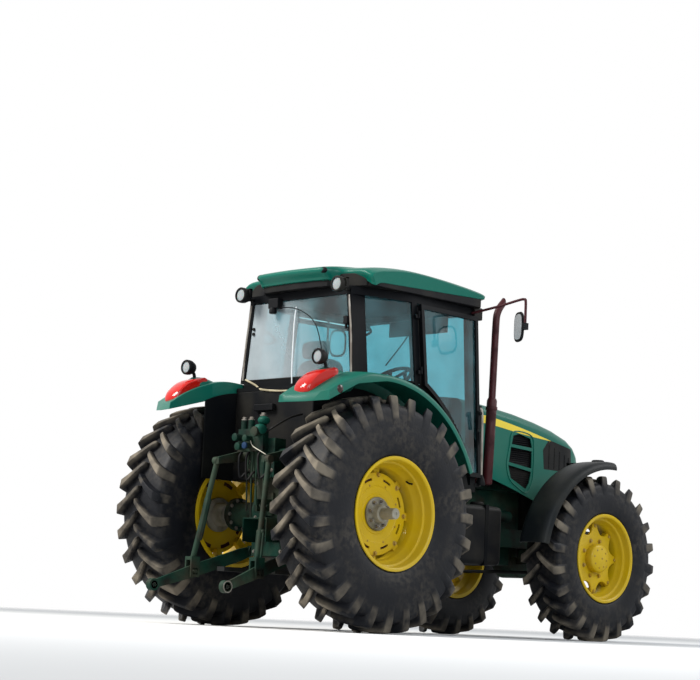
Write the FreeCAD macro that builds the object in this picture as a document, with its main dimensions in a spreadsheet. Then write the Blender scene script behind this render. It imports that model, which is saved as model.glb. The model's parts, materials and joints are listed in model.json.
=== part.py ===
"""A farm tractor with a closed cab, four driven wheels and a rear three-point hitch.

Lengths are millimetres. X points forward, Y to the driver's left and Z up. Every station x is
measured from the rear axle, and origin_shift carries the whole machine to the middle of its
own length. The driving sizes stand in the sheet named Sizes, and every object is bound to them.
"""
import FreeCAD, Part
import math
import os

import Sketcher
from FreeCAD import Placement, Rotation, Vector

os.makedirs("parts", exist_ok=True)
doc = FreeCAD.newDocument("FarmTractor")
sheet = doc.addObject("Spreadsheet::Sheet", "Sizes")

SIZES = {
    # whole machine
    "wheelbase": 2590, "seat_gap": 0.3, "run_gap": 0.05,
    # rear wheels
    "rear_tyre_radius": 858, "rear_tyre_half": 235, "rear_track_half": 855, "rear_flange": 415,
    "rear_bead": 393, "rear_well": 345, "rear_rim_half": 217, "rear_disc": 300, "rear_disc_in": 5,
    "rear_hub_radius": 120, "rear_hub_length": 130, "rear_shaft": 40, "rear_shaft_end": 1072,
    "rear_rim_lugs": 8, "rear_lugs": 27, "rear_lug_height": 55, "rear_lug_width": 46,
    "rear_lug_run": 160,
    # front wheels
    "front_tyre_radius": 670, "front_tyre_half": 189, "front_track_half": 800, "front_flange": 360,
    "front_bead": 338, "front_well": 296, "front_rim_half": 176, "front_disc_in": 40,
    "front_cover": 115, "front_cover_end": 925, "front_hub_radius": 140, "front_rim_lugs": 8,
    "front_lugs": 22, "front_lug_height": 48, "front_lug_width": 40, "front_lug_run": 130,
    "rim_wall": 10, "flange_wall": 12, "disc_wall": 14,
    # front axle and steering
    "kingpin_half": 660, "kingpin_radius": 20, "boss_radius": 58, "boss_half": 80, "yoke_wall": 34,
    "beam_height": 120, "beam_depth": 130, "axle_bulge": 150, "steer_arm": 175, "tie_rod_radius": 14,
    "steer_pin_radius": 11, "steer_eye_radius": 26, "axle_pivot_radius": 60, "axle_pivot_rise": 90,
    # front fenders
    "arch_forward": 100, "arch_drop": 98, "arch_radius": 895, "arch_skin": 14, "arch_lip": 70,
    "arch_inner": 700, "arch_outer": 960, "arch_front_angle": 87, "arch_rear_angle": 168,
    # driveline
    "frame_half": 185, "rail_wall": 38, "rail_bottom": 735, "rail_height": 150,
    "engine_rear": 1440, "engine_short": 170, "engine_top": 1440, "sump_bottom": 590,
    "gearbox_half": 165, "gearbox_bottom": 600, "gearbox_top": 1070,
    "rear_case_half": 175, "rear_case_rear": 250, "rear_case_front": 330, "trumpet_radius": 95,
    "trumpet_end": 640,
    "nose_ahead": 470, "bracket_length": 100, "weight_length": 320, "weight_half": 240,
    # rear fenders
    "fender_drop": 51, "fender_clear": 207, "fender_skin": 18, "fender_lip": 51,
    "fender_inner": 600, "fender_outer": 950, "fender_wall": 15, "fender_front_angle": 24,
    # cab
    "floor_bottom": 1110, "floor_wall": 50, "cab_rear": 110, "cab_wall": 20,
    "scuttle_up": 1480, "scuttle_wall": 12,
    "sill_rise": 18, "sill_wall": 14, "header_bottom": 2500, "header_top": 2560, "pillar_wall": 45,
    "a_rear": 1190, "a_front": 1250, "a_low": 720, "a_high": 630,
    "b_rear": 500, "b_front": 560, "b_low": 740, "b_high": 670,
    "c_rear": -40, "c_front": 105, "c_low": 624, "c_high": 556,
    "glass_wall": 6, "door_wall": 34, "door_gap": 6, "door_border": 34, "door_clear": 135,
    "door_bottom": 1222, "door_top": 2492, "hinge_radius": 9,
    # roof
    "roof_bottom": 2560,
    # hood
    "hood_wall": 9,
    # mirrors
    "mirror_forward": 1345, "mirror_out": 1090, "mirror_up": 2620, "mirror_turn": 24,
    # tank and steps
    "tank_front": 1740, "tank_out": 600, "tank_low": 560, "tank_high": 1030, "step_out": 810,
    # hood hinge
    "hood_hinge_x": 1465, "hood_hinge_up": 1780, "hood_hinge_pin": 12, "hood_ear_out": 215,
    "hood_ear_wall": 20,
    # exhaust
    "exhaust_out": 600, "exhaust_base": 1523, "exhaust_top": 2655, "pipe_radius": 28,
    "muffler_radius": 41, "exhaust_branch_up": 1225,
    # hitch
    "rocker_back": 300, "rocker_up": 1290, "rocker_radius": 34, "arm_reach": 250, "arm_out": 249,
    "arm_wall": 30, "link_pivot_back": 150, "link_pivot_up": 571, "link_pivot_out": 280,
    "ball_back": 1000, "ball_up": 282, "ball_out": 400, "ball_bore": 14.35, "ball_width": 45,
    "ball_radius": 45,
    "link_wall": 22, "link_depth": 96, "lift_pin_share": 0.61, "rod_radius": 21,
    "rod_pin_radius": 12.5, "drawbar_width": 80, "drawbar_wall": 32, "drawbar_up": 400,
    "drawbar_hole": 16, "pto_radius": 17.5, "pto_length": 85, "pto_up": 690,
    "top_link_bore": 12.75, "link_pin_radius": 16, "guard_reach": 140, "guard_half": 130,
    "guard_wall": 8, "guard_rise": 118, "fork_wall": 14, "fork_gap": 12,
}

for row, (alias, value) in enumerate(SIZES.items(), start=1):
    sheet.set("A%d" % row, alias)
    sheet.set("B%d" % row, str(value))
    sheet.setAlias("B%d" % row, alias)
doc.recompute()


class Size:
    """A number together with the sheet formula that gives it."""

    def __init__(self, value, text):
        self.value = float(value)
        self.text = text

    def _join(self, other, sign, value, swap=False):
        left, right = (wrap(other), self) if swap else (self, wrap(other))
        return Size(value(left.value, right.value), "(%s %s %s)" % (left.text, sign, right.text))

    def __add__(self, other):
        return self._join(other, "+", lambda a, b: a + b)

    def __radd__(self, other):
        return self._join(other, "+", lambda a, b: a + b, True)

    def __sub__(self, other):
        return self._join(other, "-", lambda a, b: a - b)

    def __rsub__(self, other):
        return self._join(other, "-", lambda a, b: a - b, True)

    def __mul__(self, other):
        return self._join(other, "*", lambda a, b: a * b)

    def __rmul__(self, other):
        return self._join(other, "*", lambda a, b: a * b, True)

    def __truediv__(self, other):
        return self._join(other, "/", lambda a, b: a / b)

    def __neg__(self):
        return Size(-self.value, "(-1 * %s)" % self.text)

    def __float__(self):
        return self.value


def wrap(number):
    """Any plain number as a Size."""
    if isinstance(number, Size):
        return number
    return Size(number, "(%r)" % float(number))


def root(number):
    """The square root of a size."""
    return Size(math.sqrt(number.value), "sqrt(%s)" % number.text)


def cosine(angle):
    """The cosine of an angle in degrees."""
    angle = wrap(angle)
    return Size(math.cos(math.radians(angle.value)), "cos(%s)" % angle.text)


def sine(angle):
    """The sine of an angle in degrees."""
    angle = wrap(angle)
    return Size(math.sin(math.radians(angle.value)), "sin(%s)" % angle.text)


class Sheet:
    """Reads the sheet's cells by name."""

    def __getattr__(self, alias):
        return Size(sheet.get(alias), "Sizes." + alias)


S = Sheet()
SIDES = (("left", 1), ("right", -1))
frame_nose = S.wheelbase + S.nose_ahead
weight_start = frame_nose + S.bracket_length
front_reach = weight_start + S.weight_length
engine_front = S.wheelbase - S.engine_short
rear_reach = S.ball_back + S.ball_radius
origin_shift = (rear_reach - front_reach) / 2
AXIS_TURN = {
    "X": Rotation(Vector(0, 1, 0), 90),
    "Y": Rotation(Vector(1, 0, 0), -90),
    "Z": Rotation(),
}
nodes = {}


def bind(item, name, size):
    """Ties one property to its formula."""
    item.setExpression(name, wrap(size).text)


def place(item, x, y, z, turn=None):
    """Stands an object at a station x from the rear axle, and at y and z."""
    if turn is not None:
        item.Placement = Placement(Vector(), turn)
    for axis, size in zip("xyz", (origin_shift + x, y, z)):
        bind(item, "Placement.Base." + axis, size)
    return item


def keep(name, item):
    """Names a finished sub-part."""
    item.Label = name
    nodes[name] = item
    return item


def box(name, x, y, z):
    """A block between two stations, two widths and two heights, each given low then high."""
    item = doc.addObject("Part::Box", name)
    for prop, (low, high) in zip(("Length", "Width", "Height"), (x, y, z)):
        bind(item, prop, wrap(high) - low)
    return place(item, x[0], y[0], z[0])


def rod(name, radius, axis, span, centre):
    """A cylinder along one axis between two places, centred at the other two coordinates."""
    item = doc.addObject("Part::Cylinder", name)
    bind(item, "Radius", radius)
    bind(item, "Height", wrap(span[1]) - span[0])
    at = {
        "X": (span[0], centre[0], centre[1]),
        "Y": (centre[0], span[0], centre[1]),
        "Z": (centre[0], centre[1], span[0]),
    }[axis]
    return place(item, *at, turn=AXIS_TURN[axis])


def sector(name, radius, angles, y, centre):
    """A wedge of a cylinder along Y, between two angles from straight ahead, rising."""
    item = doc.addObject("Part::Cylinder", name)
    bind(item, "Radius", radius)
    bind(item, "Height", wrap(y[1]) - y[0])
    bind(item, "Angle", wrap(angles[1]) - angles[0])
    turn = Rotation(Vector(1, 0, 0), 90).multiply(Rotation(Vector(0, 0, 1), float(angles[0])))
    return place(item, centre[0], y[1], centre[1], turn=turn)


def cut(name, base, *tools):
    """The base less its tools."""
    for index, tool in enumerate(tools):
        item = doc.addObject("Part::Cut", "%s_cut%d" % (name, index))
        item.Base = base
        item.Tool = tool
        base = item
    return base


def fuse(name, *parts):
    """Touching parts joined as one solid."""
    item = doc.addObject("Part::MultiFuse", name)
    item.Shapes = list(parts)
    item.Refine = True
    return item


def common(name, *parts):
    """What all the parts share."""
    item = doc.addObject("Part::MultiCommon", name)
    item.Shapes = list(parts)
    return item


def group(name, *parts):
    """Like pieces that don't touch, kept in one sub-part."""
    item = doc.addObject("Part::Compound", name)
    item.Links = list(parts)
    return item


def outline_sketch(body, name, plane, points, offset=None):
    """A closed outline of straight edges whose corners are bound to their formulas."""
    sketch = body.newObject("Sketcher::SketchObject", name)
    flat = [item for item in body.Origin.OriginFeatures if item.Role == plane][0]
    sketch.AttachmentSupport = (flat, [""])
    sketch.MapMode = "FlatFace"
    if offset is not None:
        bind(sketch, "AttachmentOffset.Base.z", offset)
    corners = [(wrap(a), wrap(b)) for a, b in points]
    for index, (a, b) in enumerate(corners):
        after = corners[(index + 1) % len(corners)]
        start = Vector(a.value, b.value, 0)
        end = Vector(after[0].value, after[1].value, 0)
        sketch.addGeometry(Part.LineSegment(start, end), False)
    for index, corner in enumerate(corners):
        sketch.addConstraint(
            Sketcher.Constraint("Coincident", index, 2, (index + 1) % len(corners), 1))
        for kind, size in zip(("DistanceX", "DistanceY"), corner):
            number = sketch.addConstraint(
                Sketcher.Constraint(kind, -1, 1, index, 1, size.value))
            bind(sketch, "Constraints[%d]" % number, size)
    return sketch


def plate(name, points, y):
    """A body whose outline in x and z is padded between two widths."""
    body = doc.addObject("PartDesign::Body", name)
    sketch = outline_sketch(body, name + "_outline", "XZ_Plane", points)
    pad = body.newObject("PartDesign::Pad", name + "_pad")
    pad.Profile = sketch
    pad.SideType = "Symmetric"
    bind(pad, "Length", wrap(y[1]) - y[0])
    return place(body, 0, (wrap(y[0]) + y[1]) / 2, 0)


def slab(name, points, z):
    """A body whose outline in x and y is padded between two heights."""
    body = doc.addObject("PartDesign::Body", name)
    sketch = outline_sketch(body, name + "_outline", "XY_Plane", points)
    pad = body.newObject("PartDesign::Pad", name + "_pad")
    pad.Profile = sketch
    bind(pad, "Length", wrap(z[1]) - z[0])
    return place(body, 0, 0, z[0])


def turned(name, profile, x, y, z, side=1, turn_to=None):
    """A body turned about a line along Y from (radius, distance outward) corners."""
    body = doc.addObject("PartDesign::Body", name)
    points = [(radius, wrap(along) * side) for radius, along in profile]
    sketch = outline_sketch(body, name + "_profile", "XY_Plane", points)
    turn = body.newObject("PartDesign::Revolution", name + "_turn")
    turn.Profile = sketch
    turn.ReferenceAxis = (sketch, ["V_Axis"])
    turn.Angle = 360
    return place(body, x, y, z, turn_to)


def polygon(points):
    """A closed wire through points in space."""
    return Part.makePolygon(list(points) + [points[0]])


def strut(name, radius, start, end):
    """A cylinder between two points, each a station, a width and a height."""
    item = doc.addObject("Part::Cylinder", name)
    bind(item, "Radius", radius)
    first = Vector(*[float(number) for number in start])
    last = Vector(*[float(number) for number in end])
    item.Height = (last - first).Length
    turn = Rotation(Vector(0, 0, 1), last - first)
    item.Placement = Placement(first + Vector(float(origin_shift), 0, 0), turn)
    return item


def lofted(name, sections):
    """A solid with straight rulings through closed wires, standing at the origin shift."""
    item = doc.addObject("Part::Feature", name)
    item.Shape = Part.makeLoft(sections, True, True)
    item.Placement = Placement(Vector(origin_shift.value, 0, 0), Rotation())
    return item


def post(name, low, high):
    """A solid between two level four-cornered sections, each (corners, height)."""
    wires = []
    for corners, height in (low, high):
        wires.append(polygon([Vector(float(a), float(b), float(height)) for a, b in corners]))
    return lofted(name, wires)


# Places that many sub-parts share
rear_up = S.rear_tyre_radius
arch_up = rear_up - S.fender_drop
fender_radius = S.rear_tyre_radius + S.fender_clear
fender_crown = arch_up + fender_radius
sill_up = fender_crown + S.sill_rise
door_arc = fender_radius + S.door_clear
front_up = S.front_tyre_radius
front_on = S.wheelbase
floor_top = S.floor_bottom + S.floor_wall
boss_low = front_up - S.boss_half
boss_high = front_up + S.boss_half


def round_point(radius, angle, along):
    """A point at a radius and an angle in radians about the wheel's axle."""
    return Vector(radius * math.cos(angle), along, radius * math.sin(angle))


# Tread sections from the middle outward: share of the half width, then the drop of the groove and
# of the lug's top as shares of the radius, the lug's width as a multiple, and its feet's spread
TREAD = (
    (0.0, 0.0, 0.0, 0.9, 24),
    (0.86, 0.021, 0.007, 1.5, 26),
    (0.985, 0.125, 0.186, 1.1, 20),
)


def toothed_ring(count, turn, along, base, tip, top, foot, facing=None):
    """A tread section: four corners a lug, then the feet of the facing lug where one is given."""
    points = []
    pitch = 2 * math.pi / count
    for index in range(count):
        middle = turn + pitch * index
        for radius, shift in ((base, -foot / 2), (tip, -top / 2), (tip, top / 2), (base, foot / 2)):
            points.append(round_point(radius, middle + shift / radius, along))
        for shift in ((-facing / 2, facing / 2) if facing else ()):
            points.append(round_point(base, middle + pitch / 2 + shift / base, along))
    return points


def plain_ring(count, turn, along, radius):
    """A polygon whose flats touch a circle."""
    corner = radius / math.cos(math.pi / count)
    return [round_point(corner, turn + 2 * math.pi * index / count, along) for index in range(count)]


def flats(a, b, c, d):
    """Four corners as one flat face, or as two where they don't lie in a plane."""
    if abs((b - a).cross(c - a).normalize().dot(d - a)) < 1e-6:
        return [(a, b, c, d)]
    return [(a, b, c), (a, c, d)]


def band(outer, inner, count):
    """Flat faces between two rings of a tyre, whose corners a lug are six, four or one."""
    many, few = len(outer) // count, len(inner) // count
    found = []
    for lug in range(count):
        p = [outer[(lug * many + index) % len(outer)] for index in range(many + 1)]
        q = [inner[(lug * few + index) % len(inner)] for index in range(few + 1)]
        if many == few:
            for index in range(many):
                found += flats(p[index], p[index + 1], q[index + 1], q[index])
        elif many == 6:
            for index in range(3):
                found += flats(p[index], p[index + 1], q[index + 1], q[index])
            found += [(p[3], p[4], q[3]), (p[4], q[4], q[3]), (p[4], p[5], q[4]), (p[5], p[6], q[4])]
        else:
            found += [(p[0], p[1], q[0]), (p[1], p[2], q[0]), (p[2], p[3], q[1]), (p[3], p[4], q[1])]
            found.append((p[2], q[1], q[0]))
    return found


def tyre(name, x, y, z, radius, half, bead, flange, rim_half, lugs, height, width, run):
    """A drive tyre in one closed skin of flat faces: lugs in two staggered rows that slant out and
    back from the middle, bulging sidewalls, and beads inside the rim's flanges."""
    radius, half, bead, flange, height, width, run = (
        float(size) for size in (radius, half, bead, flange, height, width, run))
    bead_edge = float(rim_half - S.flange_wall - S.seat_gap)
    lugs = int(float(lugs))
    base = radius - height
    pitch = 2 * math.pi / lugs
    sweep = run / radius
    walls = ((flange + 0.4 * (base - flange), half), (flange + 3, bead_edge), (bead, bead_edge))
    faces = []
    beads = []
    for side, start in ((1, 0.0), (-1, pitch / 2)):
        rings = []
        for share, drop, tip_drop, wide, spread in TREAD:
            top = wide * width
            facing = top + spread if share == 0 else None
            turn = start if share == 0 else start + sweep
            rings.append(toothed_ring(lugs, turn, side * share * half, base - drop * radius,
                                      radius - tip_drop * radius, top, top + spread, facing))
        lower = [plain_ring(lugs, sweep - pitch / 2, side * out, r) for r, out in walls]
        faces += [tuple(rings[0][6 * index:6 * index + 4]) for index in range(lugs)]
        faces += band(rings[0], rings[1], lugs) + band(rings[1], rings[2], lugs)
        if side > 0:
            faces += band(rings[2], lower[0], lugs)
        else:
            faces += band(rings[2][2:] + rings[2][:2], lower[0][1:] + lower[0][:1], lugs)
        faces += band(lower[0], lower[1], lugs) + band(lower[1], lower[2], lugs)
        beads.append(lower[2])
    faces += band(beads[0], beads[1], lugs)
    shell = Part.Shell([Part.Face(polygon(corners)) for corners in faces])
    shell.sewShape()
    whole = Part.Solid(shell)
    if whole.Volume < 0:
        whole.reverse()
    item = doc.addObject("Part::Feature", name)
    item.Shape = whole
    return place(item, x, y, z)


def barrel(name, x, y, z, flange, bead, well, half, side):
    """The stepped rim: two flanges, two bead seats and a well between them."""
    seat = bead - S.seat_gap
    inside = S.rim_wall
    edge = half - S.flange_wall
    shape = [
        (flange, -half), (flange, -edge), (seat, -edge), (seat, -0.35 * half), (well, -0.2 * half),
        (well, 0.25 * half), (seat, 0.42 * half), (seat, edge), (flange, edge), (flange, half),
        (seat - inside, half), (seat - inside, 0.42 * half + 6), (well - inside, 0.25 * half + 6),
        (well - inside, -0.2 * half - 6), (seat - inside, -0.35 * half - 6), (seat - inside, -half),
    ]
    return turned(name, shape, x, y, z, side)


def rim_lugs(name, count, x, y, z, inner, outer, width):
    """Blocks round the rim's well that the disc bolts to."""
    blocks = []
    for index in range(int(float(count))):
        angle = 360.0 * index / float(count)
        block = doc.addObject("Part::Box", "%s_%d" % (name, index))
        bind(block, "Length", wrap(outer) - inner)
        bind(block, "Width", width)
        bind(block, "Height", wrap(y[1]) - y[0])
        turn = Rotation(Vector(1, 0, 0), 90).multiply(Rotation(Vector(0, 0, 1), angle))
        along, across = cosine(angle), sine(angle)
        half = wrap(width) / 2
        place(block, x + along * inner + across * half, y[1], z + across * inner - along * half, turn)
        blocks.append(block)
    return blocks


def rear_wheels():
    """Tyre, rim with its disc, and the hub on its bar axle, on each side."""
    for side_name, side in SIDES:
        y = side * S.rear_track_half
        keep("rear_tyre_" + side_name, tyre(
            "RearTyre_" + side_name, 0, y, rear_up, S.rear_tyre_radius, S.rear_tyre_half,
            S.rear_bead, S.rear_flange, S.rear_rim_half, S.rear_lugs, S.rear_lug_height,
            S.rear_lug_width, S.rear_lug_run))
        rim = barrel("RearBarrel_" + side_name, 0, y, rear_up, S.rear_flange, S.rear_bead,
                     S.rear_well, S.rear_rim_half, side)
        disc_in = S.rear_disc_in
        disc_out = disc_in + S.disc_wall
        bore = S.rear_shaft + S.run_gap
        disc = turned("RearDisc_" + side_name, [
            (bore, disc_in), (S.rear_disc, disc_in), (S.rear_disc, disc_out), (bore, disc_out),
        ], 0, y, rear_up, side)
        faces = sorted((y - side * 45, y + side * disc_in), key=float)
        lugs = rim_lugs("RearLug_" + side_name, S.rear_rim_lugs, 0, faces, rear_up,
                        S.rear_disc - 34, S.rear_well - S.rim_wall + 3, 58)
        keep("rear_wheel_" + side_name, fuse("RearWheel_" + side_name, rim, disc, *lugs))
        inner = disc_in - S.rear_hub_length
        shaft_in = S.trumpet_end - 50 - S.rear_track_half
        shaft_out = S.rear_shaft_end - S.rear_track_half
        hub = turned("RearHub_" + side_name, [
            (0, shaft_in), (S.rear_shaft, shaft_in), (S.rear_shaft, inner), (S.rear_hub_radius - 38, inner),
            (S.rear_hub_radius - 26, disc_in - 28), (S.rear_hub_radius + 14, disc_in - 28),
            (S.rear_hub_radius + 14, disc_in), (S.rear_shaft, disc_in),
            (S.rear_shaft, shaft_out), (0, shaft_out),
        ], 0, y, rear_up, side)
        keep("rear_hub_" + side_name, hub)


def front_wheels():
    """Tyre and rim with its lobed disc and hub, on each side."""
    for side_name, side in SIDES:
        y = side * S.front_track_half
        keep("front_tyre_" + side_name, tyre(
            "FrontTyre_" + side_name, front_on, y, front_up, S.front_tyre_radius, S.front_tyre_half,
            S.front_bead, S.front_flange, S.front_rim_half, S.front_lugs, S.front_lug_height,
            S.front_lug_width, S.front_lug_run))
        rim = barrel("FrontBarrel_" + side_name, front_on, y, front_up, S.front_flange, S.front_bead,
                     S.front_well, S.front_rim_half, side)
        disc_in = S.front_disc_in
        disc_out = disc_in + S.disc_wall
        disc = turned("FrontDisc_" + side_name, [
            (0, disc_in), (205, disc_in), (205, disc_out), (S.front_cover, disc_out),
            (S.front_cover, S.front_cover_end - S.front_track_half - 12),
            (S.front_cover - 16, S.front_cover_end - S.front_track_half),
            (0, S.front_cover_end - S.front_track_half),
        ], front_on, y, front_up, side)
        hub_inner = S.kingpin_half + S.boss_radius + S.yoke_wall + 12 - S.front_track_half
        hub = turned("FrontHub_" + side_name, [
            (0, hub_inner), (S.front_hub_radius - 20, hub_inner), (S.front_hub_radius, hub_inner + 20),
            (S.front_hub_radius, disc_in), (0, disc_in),
        ], front_on, y, front_up, side)
        lobe_faces = sorted((y + side * disc_in, y + side * disc_out), key=float)
        lobes = rim_lugs("FrontLobe_" + side_name, S.front_rim_lugs, front_on, lobe_faces, front_up,
                         190, S.front_well - S.rim_wall - 14, 74)
        faces = sorted((y - side * 8, y + side * disc_in), key=float)
        lugs = rim_lugs("FrontLug_" + side_name, S.front_rim_lugs, front_on, faces, front_up,
                        S.front_well - S.rim_wall - 44, S.front_well - S.rim_wall + 3, 50)
        keep("front_wheel_" + side_name,
             fuse("FrontWheel_" + side_name, rim, disc, hub, *(lobes + lugs)))


# What shows on the engine's sides: name, radius, axis, its two ends, and its other two places
ENGINE_SIDES = (
    ("OilFilter", 48, "Z", (925, 1085), (1700, 226)),
    ("FuelFilter", 40, "Z", (960, 1110), (1830, 220)),
    ("Alternator", 64, "X", (2230, 2370), (236, 1190)),
    ("FuelPump", 52, "X", (2080, 2290), (228, 1010)),
    ("Cooler", 46, "X", (1880, 2240), (-224, 985)),
)


def driveline():
    """Frame rails, engine, gearbox and rear axle housing, bolted end to end."""
    rails = []
    for side_name, side in SIDES:
        y = sorted((side * S.frame_half, side * (S.frame_half + S.rail_wall)), key=float)
        rails.append(box("Rail_" + side_name, (S.engine_rear, frame_nose), y,
                         (S.rail_bottom, S.rail_bottom + S.rail_height)))
    nose = box("Bolster", (S.wheelbase + 210, frame_nose), (-S.frame_half, S.frame_half),
               (S.rail_bottom - 60, S.rail_bottom + S.rail_height))
    hangers = []
    for label, rear, front in (("rear", -192, -156), ("front", 155, 195)):
        hangers.append(box("AxleHanger_" + label, (front_on + rear, front_on + front),
                           (-S.frame_half, S.frame_half), (S.rail_bottom - 70, S.rail_bottom + 100)))
    bore = rod("AxlePivotBore", S.axle_pivot_radius + S.run_gap, "X", (front_on - 210, front_on + 205),
               (0, front_up + S.axle_pivot_rise))
    keep("front_frame", cut("FrontFrame", fuse("FrontFrameSolid", *(rails + [nose] + hangers)), bore))
    block = box("EngineBlock", (S.engine_rear, engine_front),
                (-S.frame_half, S.frame_half), (S.rail_bottom + 100, S.engine_top))
    sump = box("EngineSump", (S.engine_rear, S.wheelbase - 230),
               (-(S.frame_half - 40), S.frame_half - 40), (S.sump_bottom, S.rail_bottom + 100))
    extras = [rod("Engine" + label, radius, axis, span, centre)
              for label, radius, axis, span, centre in ENGINE_SIDES]
    manifold = box("EngineManifold", (S.engine_rear + 150, S.engine_rear + 900),
                   (-S.frame_half - 58, -S.frame_half), (1190, 1255))
    keep("engine_block", fuse("Engine", block, sump, manifold, *extras))
    case = box("GearboxCase", (S.rear_case_front, S.engine_rear - 220),
               (-S.gearbox_half, S.gearbox_half), (S.gearbox_bottom, S.gearbox_top))
    bell = rod("GearboxBell", 222, "X", (S.engine_rear - 220, S.engine_rear), (0, 862))
    keep("gearbox", fuse("Gearbox", case, bell))
    centre = box("RearCase", (-S.rear_case_rear, S.rear_case_front),
                 (-S.rear_case_half, S.rear_case_half), (530, S.floor_bottom))
    tube = rod("Trumpets", S.trumpet_radius, "Y", (-S.trumpet_end, S.trumpet_end), (0, rear_up))
    flanges = []
    for side_name, side in SIDES:
        y = sorted((side * (S.trumpet_end - 45), side * S.trumpet_end), key=float)
        flanges.append(rod("TrumpetEnd_" + side_name, S.trumpet_radius + 32, "Y", y, (0, rear_up)))
        y = sorted((side * S.rear_case_half, side * (S.rear_case_half + 110)), key=float)
        flanges.append(rod("FinalDrive_" + side_name, S.trumpet_radius + 75, "Y", y, (0, rear_up)))
    housing = fuse("RearHousingSolid", centre, tube, *flanges)
    bores = []
    for side_name, side in SIDES:
        y = sorted((side * (S.trumpet_end - 60), side * (S.trumpet_end + 5)), key=float)
        bores.append(rod("TrumpetBore_" + side_name, S.rear_shaft + S.run_gap, "Y", y, (0, rear_up)))
    pins = []
    for side_name, side in SIDES:
        y = sorted((side * S.rear_case_half, side * (S.link_pivot_out + 24)), key=float)
        pins.append(rod("LinkPin_" + side_name, S.link_pin_radius, "Y", y,
                        (-S.link_pivot_back, S.link_pivot_up)))
    guard = []
    back = -S.rear_case_rear
    wall = S.guard_wall
    guard.append(box("GuardRoof", (back - S.guard_reach, back), (-S.guard_half, S.guard_half),
                     (S.pto_up + S.guard_rise - wall, S.pto_up + S.guard_rise)))
    for side_name, side in SIDES:
        y = sorted((side * (S.guard_half - wall), side * S.guard_half), key=float)
        guard.append(box("GuardSide_" + side_name, (back - S.guard_reach, back), y,
                         (S.pto_up - 60, S.pto_up + S.guard_rise)))
    keep("rear_axle_housing", fuse("RearHousing", cut("RearHousingBored", housing, *bores), *pins))
    keep("shaft_guard", fuse("ShaftGuard", *guard))


def front_axle():
    """The beam with its kingpin bosses, the knuckles that turn on them, and the tie rod."""
    low = front_up - S.beam_height / 2
    high = front_up + S.beam_height / 2
    reach = S.kingpin_half
    beam = box("Beam", (front_on - S.beam_depth / 2, front_on + S.beam_depth / 2), (-reach, reach),
               (low, high))
    bulge = rod("AxleBulge", S.axle_bulge, "Y", (-90, 110), (front_on, front_up - 25))
    pivot = rod("AxlePivot", S.axle_pivot_radius, "X", (front_on - 195, front_on + 200),
                (0, front_up + S.axle_pivot_rise))
    parts = [beam, bulge, pivot]
    holes = []
    for side_name, side in SIDES:
        at = (front_on, side * reach)
        parts.append(rod("Boss_" + side_name, S.boss_radius, "Z", (boss_low, boss_high), at))
        holes.append(rod("BossBore_" + side_name, S.kingpin_radius + S.run_gap, "Z",
                         (boss_low - 5, boss_high + 5), at))
    keep("front_axle_beam", cut("FrontAxle", fuse("FrontAxleSolid", *parts), *holes))
    wall_in = reach + S.boss_radius + S.seat_gap
    wall_out = wall_in + S.yoke_wall
    for side_name, side in SIDES:
        at = (front_on, side * reach)
        yoke = []
        for label, low_face, high_face in (
            ("low", boss_low - S.seat_gap - S.yoke_wall, boss_low - S.seat_gap),
            ("high", boss_high + S.seat_gap, boss_high + S.seat_gap + S.yoke_wall),
        ):
            yoke.append(rod("YokeEye_%s_%s" % (label, side_name), S.boss_radius, "Z",
                            (low_face, high_face), at))
            y = sorted((side * reach, side * wall_out), key=float)
            yoke.append(box("YokeArm_%s_%s" % (label, side_name),
                            (front_on - S.boss_radius, front_on + S.boss_radius), y,
                            (low_face, high_face)))
        y = sorted((side * (wall_in + 8), side * wall_out), key=float)
        yoke.append(box("YokeWall_" + side_name, (front_on - 80, front_on + 80), y,
                        (boss_low - S.seat_gap - S.yoke_wall, boss_high + S.seat_gap + S.yoke_wall)))
        yoke.append(rod("Kingpin_" + side_name, S.kingpin_radius, "Z",
                        (boss_low - S.yoke_wall, boss_high + S.yoke_wall), at))
        y = sorted((side * (wall_out - 4), side * (wall_out + 12 - 2 * S.seat_gap)), key=float)
        yoke.append(rod("Spindle_" + side_name, 70, "Y", y, (front_on, front_up)))
        arm_low = boss_low - S.seat_gap - S.yoke_wall
        arm = box("SteerArm_" + side_name, (front_on - S.steer_arm, front_on),
                  sorted((side * (reach - 28), side * (reach + 28)), key=float), (arm_low, arm_low + 24))
        end = rod("SteerArmEnd_" + side_name, 28, "Z", (arm_low, arm_low + 24),
                  (front_on - S.steer_arm, side * reach))
        pin = rod("SteerPin_" + side_name, S.steer_pin_radius, "Z", (arm_low - 30, arm_low + 5),
                  (front_on - S.steer_arm, side * reach))
        keep("knuckle_" + side_name, fuse("Knuckle_" + side_name, *(yoke + [arm, end, pin])))
    top = boss_low - S.seat_gap - S.yoke_wall - S.seat_gap
    middle = top - 17
    back = front_on - S.steer_arm
    eyes = []
    bores = []
    for side_name, side in SIDES:
        at = (back, side * reach)
        eyes.append(rod("TieEye_" + side_name, S.steer_eye_radius, "Z", (top - 34, top), at))
        bores.append(rod("TieBore_" + side_name, S.steer_pin_radius + S.run_gap, "Z",
                         (top - 39, top + 5), at))
    bar = rod("TieBar", S.tie_rod_radius, "Y", (-reach, reach), (back, middle))
    keep("tie_rod", cut("TieRod", fuse("TieRodSolid", bar, *eyes), *bores))


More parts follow.
